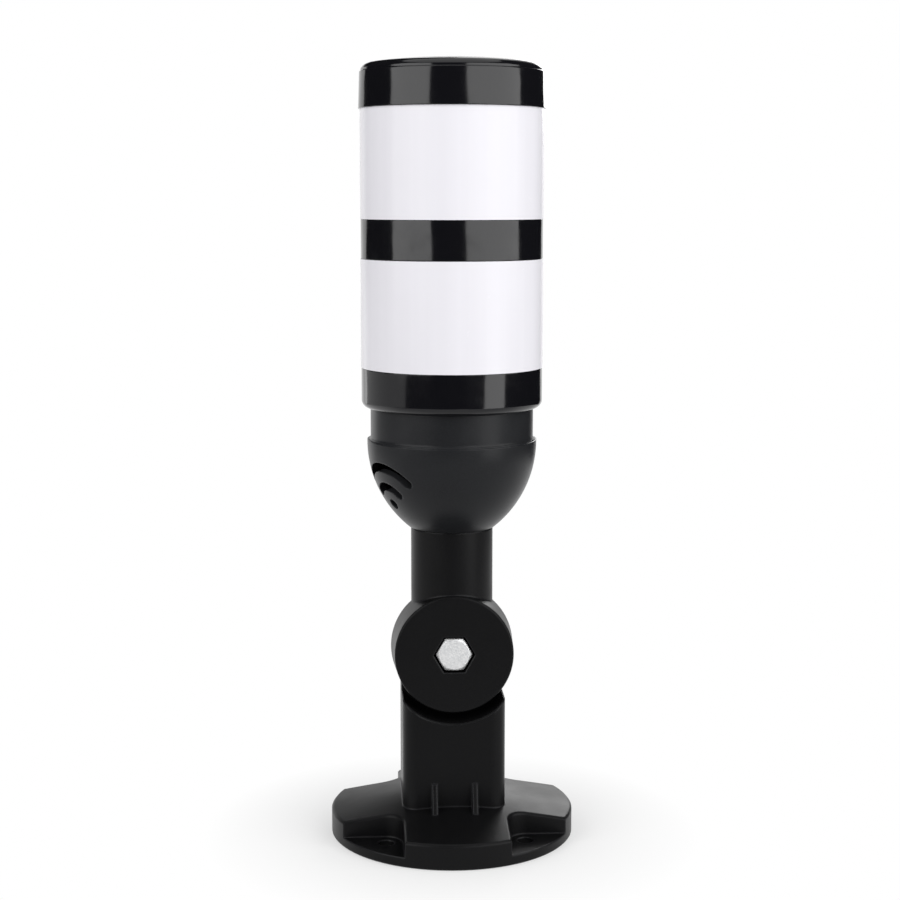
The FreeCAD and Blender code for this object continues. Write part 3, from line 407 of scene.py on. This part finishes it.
def moulded_finish(name, rgb, size, depth, edge, roughness, dust, specular=0.5, rub=2.6):
    """Grained moulded plastic, edges paler as wear and painted highlight, a film of dust."""
    made, tree, sockets = new_material(name, Specular_IOR_Level=specular)
    grain = group_node(tree, moulded_grain(), Size=size)
    edges = group_node(tree, soft_edges(), Radius=edge, Wear=3.0)
    toned = mix(tree, grain["Speckle"], opaque(rgb, PIT_TONE), opaque(rgb, PEAK_TONE))
    cloud = maths(tree, "MULTIPLY", grain["Cloud"], CLOUD_SHARE)
    clouded = mix(tree, cloud, toned, opaque(rgb, CLOUD_TONE))
    # The edges are painted paler: partly wear, partly a painted highlight where light catches
    # them.
    edge_wear_and_highlight = maths(tree, "MULTIPLY", edges["Edge"], RUB_AND_HIGHLIGHT_SHARE)
    worn_and_highlighted = mix(tree, edge_wear_and_highlight, clouded, opaque(rgb, rub))
    film = group_node(tree, settled_dust(), Colour=worn_and_highlighted, Amount=dust)
    tree.links.new(film["Colour"], sockets["Base Color"])
    even = span(tree, grain["Cloud"], 0.0, 1.0,
                roughness + CLEAR_ROUGHNESS, roughness + CLOUD_ROUGHNESS)
    worn = maths(tree, "SUBTRACT", even, maths(tree, "MULTIPLY", edges["Edge"], RUB_SMOOTHING))
    tree.links.new(worn, sockets["Roughness"])
    raise_surface(tree, sockets, grain["Height"], depth, edges["Normal"])
    return made


def polished_finish(name, rgb, sizes, dust):
    """Polished black moulding: sharp reflections, slow waves and a trace of haze."""
    made, tree, sockets = new_material(name, IOR=1.5)
    waves = group_node(tree, polish_waves(), Size=sizes.wave_size)
    edges = group_node(tree, soft_edges(), Radius=sizes.edge_radius * 0.5, Wear=2.0)
    film = group_node(tree, settled_dust(), Colour=opaque(rgb, POLISHED_TONE), Amount=dust,
                      Patch_Size=POLISHED_DUST_PATCH)
    tree.links.new(mix(tree, edges["Edge"], film["Colour"], opaque(rgb)), sockets["Base Color"])
    tree.links.new(span(tree, waves["Haze"], 0.0, 1.0, *POLISHED_ROUGHNESS), sockets["Roughness"])
    raise_surface(tree, sockets, waves["Height"], sizes.wave_depth, edges["Normal"])
    return made


def milk_finish(name, rgb, sizes):
    """Milk-white diffusing acrylic: even, smooth, with the faint flow lines of its moulding."""
    made, tree, sockets = new_material(name, IOR=1.49, Specular_IOR_Level=0.25)
    where = place(tree, "ShaderNodeTexCoord").outputs["Object"]
    parts = place(tree, "ShaderNodeSeparateXYZ", {0: where}).outputs
    round_axis = maths(tree, "ARCTAN2", parts["Y"], parts["X"])
    flow = place(tree, "ShaderNodeTexNoise", {
        "W": maths(tree, "MULTIPLY", round_axis, MILK_FLOW_LINES),
        "Scale": 1.0, "Detail": 3.0, "Roughness": 0.6}, noise_dimensions="1D")
    waves = group_node(tree, polish_waves(), Size=sizes.wave_size * MILK_WAVE_SIZE)
    streak = span(tree, flow.outputs[0], 0.35, 0.65)
    milk = [channel * part for channel, part in zip(rgb, MILK_TINT)]
    dark, pale = MILK_STREAKS
    tint = mix(tree, streak, opaque(milk, dark), opaque(milk, pale))
    haze = maths(tree, "MULTIPLY", waves["Haze"], MILK_HAZE_SHARE)
    tree.links.new(mix(tree, haze, tint, opaque(milk, MILK_HAZE_TONE)), sockets["Base Color"])
    tree.links.new(span(tree, waves["Haze"], 0.0, 1.0, *MILK_ROUGHNESS), sockets["Roughness"])
    raise_surface(tree, sockets, waves["Height"], sizes.wave_depth * MILK_WAVE_DEPTH)
    return made


def plated_finish(name, rgb, sizes):
    """Bright zinc plate with its crystals and a softened edge."""
    made, tree, sockets = new_material(name, Metallic=1.0)
    grain = group_node(tree, plate_grain(), Size=sizes.zinc_grain)
    edges = group_node(tree, soft_edges(), Radius=sizes.edge_radius * 0.5, Wear=2.0)
    dark, pale = [opaque(rgb, tone) for tone in ZINC_TONES]
    toned = mix(tree, grain["Tone"], dark, pale)
    tree.links.new(mix(tree, edges["Edge"], toned, pale), sockets["Base Color"])
    tree.links.new(span(tree, grain["Tone"], 0.0, 1.0, *ZINC_ROUGHNESS), sockets["Roughness"])
    raise_surface(tree, sockets, grain["Height"], sizes.zinc_depth, edges["Normal"])
    return made


def board_finish(name, rgb, track, sizes):
    """Solder mask over copper tracks, which show through it in their own tone."""
    made, tree, sockets = new_material(name)
    tracks = place(tree, "ShaderNodeTexVoronoi", {
        "Vector": scaled_place(tree, sizes.track_grid), "Scale": 1.0, "Randomness": 0.6},
        feature="DISTANCE_TO_EDGE")
    line = span(tree, tracks.outputs["Distance"], *TRACK_EDGE, 1.0, 0.0)
    tree.links.new(mix(tree, line, opaque(rgb), opaque(track)), sockets["Base Color"])
    tree.links.new(span(tree, line, 0.0, 1.0, *BOARD_ROUGHNESS), sockets["Roughness"])
    raise_surface(tree, sockets, line, sizes.track_height)
    return made


def dress(material, *names):
    """Gives CAD nodes a finish in place of their plain one."""
    for name in names:
        data = NODES[name].data
        data.materials.clear()
        data.materials.append(material)


# ---------------------------------------------------------------- small parts

WELD_DISTANCE = 0.00001


def new_piece(name, mesh, material):
    """A finished piece that rides with the head, its place in its mesh."""
    piece = bpy.data.objects.new(name, mesh)
    bpy.context.scene.collection.objects.link(piece)
    piece.data.materials.clear()
    piece.data.materials.append(material)
    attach(piece, "head")


def islands(node_name):
    """The box (lowest corner, highest corner) of each separate block in a CAD node."""
    work = bmesh.new()
    work.from_mesh(NODES[node_name].data)
    bmesh.ops.remove_doubles(work, verts=work.verts, dist=WELD_DISTANCE)
    left = set(work.verts)
    boxes = []
    while left:
        front = [left.pop()]
        found = list(front)
        while front:
            corner = front.pop()
            for edge in corner.link_edges:
                other = edge.other_vert(corner)
                if other in left:
                    left.remove(other)
                    front.append(other)
                    found.append(other)
        low = Vector([min(corner.co[axis] for corner in found) for axis in range(3)])
        high = Vector([max(corner.co[axis] for corner in found) for axis in range(3)])
        boxes.append((low, high))
    work.free()
    return sorted(boxes, key=lambda box: tuple(round(value, 5) for value in box[0]))


def geometry_tree(name, inputs):
    """An empty geometry tree with a mesh in and out: the tree, its inputs and its outputs."""
    tree = bpy.data.node_groups.new(name, "GeometryNodeTree")
    tree.interface.new_socket("Geometry", in_out="INPUT", socket_type="NodeSocketGeometry")
    for label, kind, default in inputs:
        socket = tree.interface.new_socket(label, in_out="INPUT", socket_type="NodeSocket" + kind)
        if default is not None:
            socket.default_value = default
    tree.interface.new_socket("Geometry", in_out="OUTPUT", socket_type="NodeSocketGeometry")
    return tree, tree.nodes.new("NodeGroupInput").outputs, tree.nodes.new("NodeGroupOutput").inputs


def grow(name, tree, points, material, **values):
    """Runs a geometry tree on loose points and gives back its result as a plain mesh."""
    start = bpy.data.meshes.new(name + "_points")
    start.from_pydata([tuple(point) for point in points], [], [])
    carrier = bpy.data.objects.new(name + "_carrier", start)
    bpy.context.scene.collection.objects.link(carrier)
    modifier = carrier.modifiers.new("Grow", "NODES")
    modifier.node_group = tree
    sockets = {item.name: item.identifier
               for item in tree.interface.items_tree if item.in_out == "INPUT"}
    for label, value in {**values, "Material": material}.items():
        modifier[sockets[label.replace("_", " ")]] = value
    graph = bpy.context.evaluated_depsgraph_get()
    mesh = bpy.data.meshes.new_from_object(carrier.evaluated_get(graph))
    bpy.data.objects.remove(carrier)
    mesh.name = name
    if not mesh.polygons:
        raise RuntimeError(f"{name} came out empty")
    return mesh


def dome_tree():
    """A low closed dome on every point, standing on the side that faces away from the board."""
    tree, given, made = geometry_tree("Phosphor domes", [
        ("Radius", "Float", 0.002), ("Rise", "Float", 0.0003), ("Material", "Material", None)])
    ball = place(tree, "GeometryNodeMeshUVSphere", {
        "Segments": 20, "Rings": 6, "Radius": 1.0}).outputs["Mesh"]
    size = place(tree, "ShaderNodeCombineXYZ", {
        "X": given["Radius"], "Y": given["Rise"], "Z": given["Radius"]}).outputs[0]
    flat = place(tree, "GeometryNodeTransform", {"Geometry": ball, "Scale": size}).outputs[0]
    spread = place(tree, "GeometryNodeInstanceOnPoints", {
        "Points": given["Geometry"], "Instance": flat}).outputs[0]
    real = place(tree, "GeometryNodeRealizeInstances", {"Geometry": spread}).outputs[0]
    smooth = place(tree, "GeometryNodeSetShadeSmooth", {
        "Geometry": real, "Shade Smooth": True}).outputs[0]
    done = place(tree, "GeometryNodeSetMaterial", {
        "Geometry": smooth, "Material": given["Material"]}).outputs[0]
    tree.links.new(done, made["Geometry"])
    return tree


def flute_tree():
    """Upright three-sided prisms set round a circle, one on each spoke, points inwards."""
    tree, given, made = geometry_tree("Lens flutes", [
        ("Count", "Int", 72), ("Radius", "Float", 0.0225), ("Depth", "Float", 0.0006),
        ("Height", "Float", 0.02), ("Material", "Material", None)])
    circle = place(tree, "GeometryNodeMeshCircle", {
        "Vertices": given["Count"], "Radius": given["Radius"]})
    prism = place(tree, "GeometryNodeMeshCylinder", {
        "Vertices": 3, "Side Segments": 1,
        "Radius": given["Depth"], "Depth": given["Height"]}).outputs["Mesh"]
    where = place(tree, "GeometryNodeInputPosition").outputs[0]
    parts = place(tree, "ShaderNodeSeparateXYZ", {0: where}).outputs
    angle = maths(tree, "ARCTAN2", parts["Y"], parts["X"])
    inwards = maths(tree, "ADD", angle, math.pi / 3)
    turned = place(tree, "ShaderNodeCombineXYZ", {"Z": inwards}).outputs[0]
    spread = place(tree, "GeometryNodeInstanceOnPoints", {
        "Points": circle.outputs[0], "Instance": prism, "Rotation": turned}).outputs[0]
    ring = place(tree, "GeometryNodeRealizeInstances", {"Geometry": spread}).outputs[0]
    rings = place(tree, "GeometryNodeInstanceOnPoints", {
        "Points": given["Geometry"], "Instance": ring}).outputs[0]
    real = place(tree, "GeometryNodeRealizeInstances", {"Geometry": rings}).outputs[0]
    done = place(tree, "GeometryNodeSetMaterial", {
        "Geometry": real, "Material": given["Material"]}).outputs[0]
    tree.links.new(done, made["Geometry"])
    return tree


# ---------------------------------------------------------------- operators


class STACKLIGHT_OT_mouldings(bpy.types.Operator):
    """Matte moulded finish for the foot with its pillar, the fold and the neck nut"""

    bl_idname = "stack_light.mouldings"
    bl_label = "Foot, fold and neck nut"

    def execute(self, context):
        colours, sizes = context.scene.stack_light_colours, context.scene.stack_light_sizes
        # The matte black's edges are painted far paler, as painted highlight lines along them.
        matte = moulded_finish(
            "Matte black moulding", colours.matte_black, size=sizes.grain_size,
            depth=sizes.grain_depth, edge=sizes.edge_radius,
            roughness=0.34, dust=0.004, specular=0.14, rub=12.0)
        dress(matte, "base_bracket", "fold_arm")
        nylon = moulded_finish(
            "Black nylon", colours.nut_plastic, size=sizes.grain_size * 1.3,
            depth=sizes.grain_depth, edge=sizes.edge_radius, roughness=0.6, dust=0.03)
        dress(nylon, "neck_nut")
        return {"FINISHED"}


class STACKLIGHT_OT_sounder_housing(bpy.types.Operator):
    """Satin finish for the sounder housing and the collar"""

    bl_idname = "stack_light.sounder_housing"
    bl_label = "Sounder housing and collar"

    def execute(self, context):
        colours, sizes = context.scene.stack_light_colours, context.scene.stack_light_sizes
        satin = moulded_finish(
            "Satin charcoal moulding", colours.satin_charcoal, size=sizes.satin_grain,
            depth=sizes.grain_depth * 0.5, edge=sizes.edge_radius * 0.6,
            roughness=0.3, dust=0.006, specular=0.18)
        dress(satin, "sounder_housing", "collar")
        return {"FINISHED"}


class STACKLIGHT_OT_rings(bpy.types.Operator):
    """Polished finish for the two rings and the cap"""

    bl_idname = "stack_light.rings"
    bl_label = "Rings and cap"

    def execute(self, context):
        colours, sizes = context.scene.stack_light_colours, context.scene.stack_light_sizes
        gloss = polished_finish("Polished black moulding", colours.gloss_black, sizes, dust=0.01)
        dress(gloss, "base_ring", "middle_ring", "top_cap")
        return {"FINISHED"}


class STACKLIGHT_OT_lenses(bpy.types.Operator):
    """Milk-white finish for both lenses, and the flutes inside them"""

    bl_idname = "stack_light.lenses"
    bl_label = "Lenses"

    def execute(self, context):
        colours, sizes = context.scene.stack_light_colours, context.scene.stack_light_sizes
        milk = milk_finish("Milk-white acrylic", colours.milk_white, sizes)
        dress(milk, "lower_lens", "upper_lens")
        tree = flute_tree()
        for tier, below, above in (("lower", "base_ring", "middle_ring"),
                                   ("upper", "middle_ring", "top_cap")):
            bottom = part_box(below)[1].z + sizes.flute_gap
            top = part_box(above)[0].z - sizes.flute_gap
            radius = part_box(f"{tier}_lens")[1].x - sizes.flute_inset
            mesh = grow(f"{tier}_lens_flutes", tree, [(0.0, 0.0, (bottom + top) / 2)], milk,
                        Count=sizes.flute_count, Radius=radius, Depth=sizes.flute_depth,
                        Height=top - bottom)
            new_piece(f"{tier}_lens_flutes", mesh, milk)
        return {"FINISHED"}


class STACKLIGHT_OT_fasteners(bpy.types.Operator):
    """Zinc finish for the bolt, nut, washers and small screws, and rubber for the seals"""

    bl_idname = "stack_light.fasteners"
    bl_label = "Fasteners and seals"

    def execute(self, context):
        colours, sizes = context.scene.stack_light_colours, context.scene.stack_light_sizes
        zinc = plated_finish("Bright zinc plate", colours.zinc, sizes)
        dress(zinc, "joint_bolt", "joint_nut", "joint_washer", "joint_spring_washer",
              "board_screws", "ring_screws")
        rubber = moulded_finish(
            "Seal rubber", colours.seal_rubber, size=sizes.grain_size * 0.7,
            depth=sizes.grain_depth, edge=sizes.edge_radius * 0.3, roughness=0.7, dust=0.02)
        dress(rubber, *[name for name in NODES if name.startswith("seal_")])
        return {"FINISHED"}


# Finish, colour, grain size, edge radius, roughness and nodes of each small inner moulding.
# The lamps' cases are the same cream nylon as the plugs.
SMALL_MOULDINGS = (
    ("Plug nylon", "plug_cream", 0.0005, 0.0002, 0.45,
     ("link_header", "lower_connector", "upper_connector", "lower_leds", "upper_leds")),
    ("Sounder case", "sounder_black", 0.0004, 0.0003, 0.3, ("sounder",)),
    ("Moulded epoxy", "component_black", 0.0003, 0.0002, 0.5, ("driver_parts",)),
    ("Terminal polyamide", "terminal_green", 0.0005, 0.0002, 0.45, ("terminal_block",)),
)


class STACKLIGHT_OT_electrics(bpy.types.Operator):
    """Finishes for the boards and what stands on them, and the phosphor windows of the lamps"""

    bl_idname = "stack_light.electrics"
    bl_label = "Boards and lamps"

    def execute(self, context):
        colours, sizes = context.scene.stack_light_colours, context.scene.stack_light_sizes
        green = board_finish("Green solder mask", colours.board_green, GREEN_TRACK, sizes)
        dress(green, "driver_board", "lower_base_board", "upper_base_board")
        white = board_finish("White solder mask", colours.board_white, WHITE_TRACK, sizes)
        dress(white, "lower_led_board", "upper_led_board")
        for name, tone, grain, edge, roughness, nodes in SMALL_MOULDINGS:
            finish = moulded_finish(
                name, getattr(colours, tone), size=grain, depth=sizes.fine_depth, edge=edge,
                roughness=roughness, dust=0.02)
            dress(finish, *nodes)
        phosphor = moulded_finish(
            "Phosphor resin", colours.led_lens, size=0.0002, depth=sizes.fine_depth, edge=0.0001,
            roughness=0.25, dust=0.0)
        tree = dome_tree()
        for tier in ("lower", "upper"):
            centres = []
            for low, high in islands(f"{tier}_leds"):
                middle = (low + high) / 2
                face = high.y if middle.y > 0 else low.y
                centres.append((middle.x, face, middle.z))
            mesh = grow(f"{tier}_phosphor", tree, centres, phosphor,
                        Radius=sizes.phosphor_radius, Rise=sizes.phosphor_rise)
            new_piece(f"{tier}_phosphor", mesh, phosphor)
        return {"FINISHED"}


# ---------------------------------------------------------------- studio

CURTAIN_COLOUR = (0.01, 0.01, 0.012, 1.0)
FLOOR_UNSEEN, FLOOR_SEEN = (0.3, 0.3, 0.3, 1.0), (0.9, 0.9, 0.9, 1.0)
# The floor glows as white as the surroundings where it is seen. Near the foot it glows less, which
# keeps the shadow, and in gloss it is dimmer in front of the foot than behind it: painted shade on
# the floor, as seen in reflections.
GLOW_NEAR_FOOT = 0.45
GLOW_RISES = (0.03, 0.07)
GLOSS_DIMMING = 0.35
DIMMING_ENDS = (-0.12, 0.05)


def softbox(name, studio, turn_angle, spread, low, high, radiance):
    """An upright soft light that faces the axis from one side."""
    lamp = bpy.data.lights.new(name, "AREA")
    lamp.shape = "RECTANGLE"
    lamp.size = 2 * studio.box_distance * math.tan(spread)
    lamp.size_y = high - low
    lamp.energy = radiance * lamp.size * lamp.size_y * math.pi
    item = bpy.data.objects.new(name, lamp)
    bpy.context.scene.collection.objects.link(item)
    direction = Vector((math.sin(turn_angle), -math.cos(turn_angle), 0.0))
    item.location = direction * studio.box_distance + Vector((0, 0, (low + high) / 2))
    item.rotation_mode = "QUATERNION"
    item.rotation_quaternion = direction.to_track_quat("Z", "Y")


def curtain(name, studio, cloth, start, end, bottom):
    """A dark curtain round the axis, which gives polished parts their black between the lamps."""
    count = 48
    mesh = bpy.data.meshes.new(name)
    points = []
    for step in range(count + 1):
        angle = start + (end - start) * step / count
        x = math.sin(angle) * studio.curtain_distance
        y = -math.cos(angle) * studio.curtain_distance
        points += [(x, y, bottom), (x, y, studio.curtain_top)]
    faces = [(2 * step, 2 * step + 1, 2 * step + 3, 2 * step + 2) for step in range(count)]
    mesh.from_pydata(points, [], faces)
    item = bpy.data.objects.new(name, mesh)
    bpy.context.scene.collection.objects.link(item)
    mesh.materials.append(cloth)
    item.visible_camera = False
    item.visible_shadow = False
    item.visible_diffuse = False


def seen_white(tree):
    """1 for rays from the camera, in gloss and through glass, 0 for light that falls on things."""
    path = place(tree, "ShaderNodeLightPath").outputs
    seen = maths(tree, "MAXIMUM", path["Is Camera Ray"], path["Is Glossy Ray"])
    return maths(tree, "MAXIMUM", seen, path["Is Transmission Ray"])


def white_surroundings(scene, studio):
    """A world that is white where it is seen and lights things by the fill alone."""
    world = bpy.data.worlds.new("Studio")
    scene.world = world
    world.use_nodes = True
    tree = world.node_tree
    tree.nodes.clear()
    soft, white = [
        place(tree, "ShaderNodeBackground", {"Color": (1, 1, 1, 1), "Strength": strength})
        for strength in (studio.fill, 1.0)]
    both = place(tree, "ShaderNodeMixShader", {
        0: seen_white(tree), 1: soft.outputs[0], 2: white.outputs[0]})
    place(tree, "ShaderNodeOutputWorld", {"Surface": both.outputs[0]})


def pale_floor(scene, studio):
    """A round floor that shows white and keeps the object's shadow."""
    floor_mesh = bpy.data.meshes.new("floor")
    count = 96
    angles = [math.tau * step / count for step in range(count)]
    rim = [(math.sin(angle) * studio.floor_reach, math.cos(angle) * studio.floor_reach,
            -studio.floor_drop) for angle in angles]
    floor_mesh.from_pydata(rim, [], [tuple(reversed(range(count)))])
    floor = bpy.data.objects.new("floor", floor_mesh)
    scene.collection.objects.link(floor)
    material, tree, sockets = new_material("Pale floor", Roughness=0.8, Specular_IOR_Level=0.1)
    floor_mesh.materials.append(material)
    tree.links.new(mix(tree, seen_white(tree), FLOOR_UNSEEN, FLOOR_SEEN), sockets["Base Color"])
    where = place(tree, "ShaderNodeTexCoord").outputs["Object"]
    forward = place(tree, "ShaderNodeSeparateXYZ", {0: where}).outputs["Y"]
    in_gloss = place(tree, "ShaderNodeLightPath").outputs["Is Glossy Ray"]
    dimming = maths(tree, "MULTIPLY", in_gloss,
                    span(tree, forward, *DIMMING_ENDS, GLOSS_DIMMING, 0.0))
    glow = place(tree, "ShaderNodeEmission", {
        "Color": (1, 1, 1, 1), "Strength": maths(tree, "SUBTRACT", 1.0, dimming)})
    distance = place(tree, "ShaderNodeVectorMath", {0: where}, operation="LENGTH").outputs["Value"]
    away = span(tree, distance, *GLOW_RISES, GLOW_NEAR_FOOT, 1.0)
    both = place(tree, "ShaderNodeMixShader", {
        0: maths(tree, "MULTIPLY", away, seen_white(tree)),
        1: tree.nodes["Principled BSDF"].outputs[0], 2: glow.outputs[0]})
    tree.links.new(both.outputs[0], tree.nodes["Material Output"].inputs["Surface"])


def aimed_camera(scene, studio):
    """The camera, high up and a little left of the front, aimed at about mid height."""
    camera = bpy.data.cameras.new("camera")
    camera.lens = studio.lens_length
    camera.shift_y = studio.shift
    camera.sensor_width = 36.0
    camera.clip_start = 0.01
    eye = bpy.data.objects.new("camera", camera)
    scene.collection.objects.link(eye)
    back = Vector((math.sin(studio.camera_turn), -math.cos(studio.camera_turn), 0.0))
    eye.location = back * studio.camera_distance + Vector((0, 0, studio.camera_height))
    eye.rotation_mode = "QUATERNION"
    toward = Vector((-studio.aim_side, 0, studio.aim_height)) - eye.location
    eye.rotation_quaternion = toward.to_track_quat("-Z", "Y")
    scene.camera = eye


class STACKLIGHT_OT_studio(bpy.types.Operator):
    """Pale floor, white surroundings, two dark curtains, five lamps and the camera"""

    bl_idname = "stack_light.studio"
    bl_label = "Studio"

    def execute(self, context):
        scene, studio = context.scene, context.scene.stack_light_studio
        scene.view_settings.view_transform = "Standard"
        white_surroundings(scene, studio)
        pale_floor(scene, studio)
        cloth = new_material(
            "Dark curtain", Base_Color=CURTAIN_COLOUR, Roughness=1.0, Specular_IOR_Level=0.0)[0]
        curtain("curtain", studio, cloth,
                studio.curtain_left, studio.curtain_right, studio.curtain_bottom)
        curtain("high_curtain", studio, cloth,
                studio.curtain_back, studio.curtain_left, studio.high_curtain)
        softbox("softbox_left", studio, studio.left_turn, studio.left_spread,
                studio.box_split, studio.box_top, studio.box_radiance)
        softbox("softbox_right", studio, studio.right_turn, studio.right_spread,
                studio.box_split, studio.box_top, studio.box_radiance)
        softbox("low_left", studio, studio.low_left_turn, studio.low_left_spread,
                studio.low_bottom, studio.box_split, studio.low_left_radiance)
        softbox("low_right", studio, studio.low_right_turn, studio.low_right_spread,
                studio.low_bottom, studio.box_split, studio.box_radiance)
        softbox("rim_lamp", studio, studio.rim_turn, studio.rim_spread,
                studio.rim_bottom, studio.rim_top, studio.rim_radiance)
        aimed_camera(scene, studio)
        return {"FINISHED"}


OPERATORS = (
    STACKLIGHT_OT_mouldings,
    STACKLIGHT_OT_sounder_housing,
    STACKLIGHT_OT_rings,
    STACKLIGHT_OT_lenses,
    STACKLIGHT_OT_fasteners,
    STACKLIGHT_OT_electrics,
    STACKLIGHT_OT_studio,
)


class STACKLIGHT_PT_panel(bpy.types.Panel):
    """Lists the stack light's steps and sizes"""

    bl_idname = "STACKLIGHT_PT_panel"
    bl_label = "Stack light"
    bl_space_type = "VIEW_3D"
    bl_region_type = "UI"
    bl_category = "Stack light"

    def draw(self, context):
        layout = self.layout
        for step in OPERATORS:
            layout.operator(step.bl_idname)
        for settings in ("stack_light_colours", "stack_light_sizes", "stack_light_studio"):
            group = getattr(context.scene, settings)
            box = layout.box()
            for name in group.bl_rna.properties.keys():
                if name not in ("rna_type", "name"):
                    box.prop(group, name)


CLASSES = (StackLightColours, StackLightSizes, StackLightStudio, *OPERATORS, STACKLIGHT_PT_panel)


def register():
    for item in CLASSES:
        bpy.utils.register_class(item)
    bpy.types.Scene.stack_light_colours = bpy.props.PointerProperty(type=StackLightColours)
    bpy.types.Scene.stack_light_sizes = bpy.props.PointerProperty(type=StackLightSizes)
    bpy.types.Scene.stack_light_studio = bpy.props.PointerProperty(type=StackLightStudio)


def unregister():
    del bpy.types.Scene.stack_light_studio
    del bpy.types.Scene.stack_light_sizes
    del bpy.types.Scene.stack_light_colours
    for item in reversed(CLASSES):
        bpy.utils.unregister_class(item)


def main():
    register()
    for step in OPERATORS:
        family, name = step.bl_idname.split(".")
        getattr(getattr(bpy.ops, family), name)()


if __name__ == "__main__":
    main()
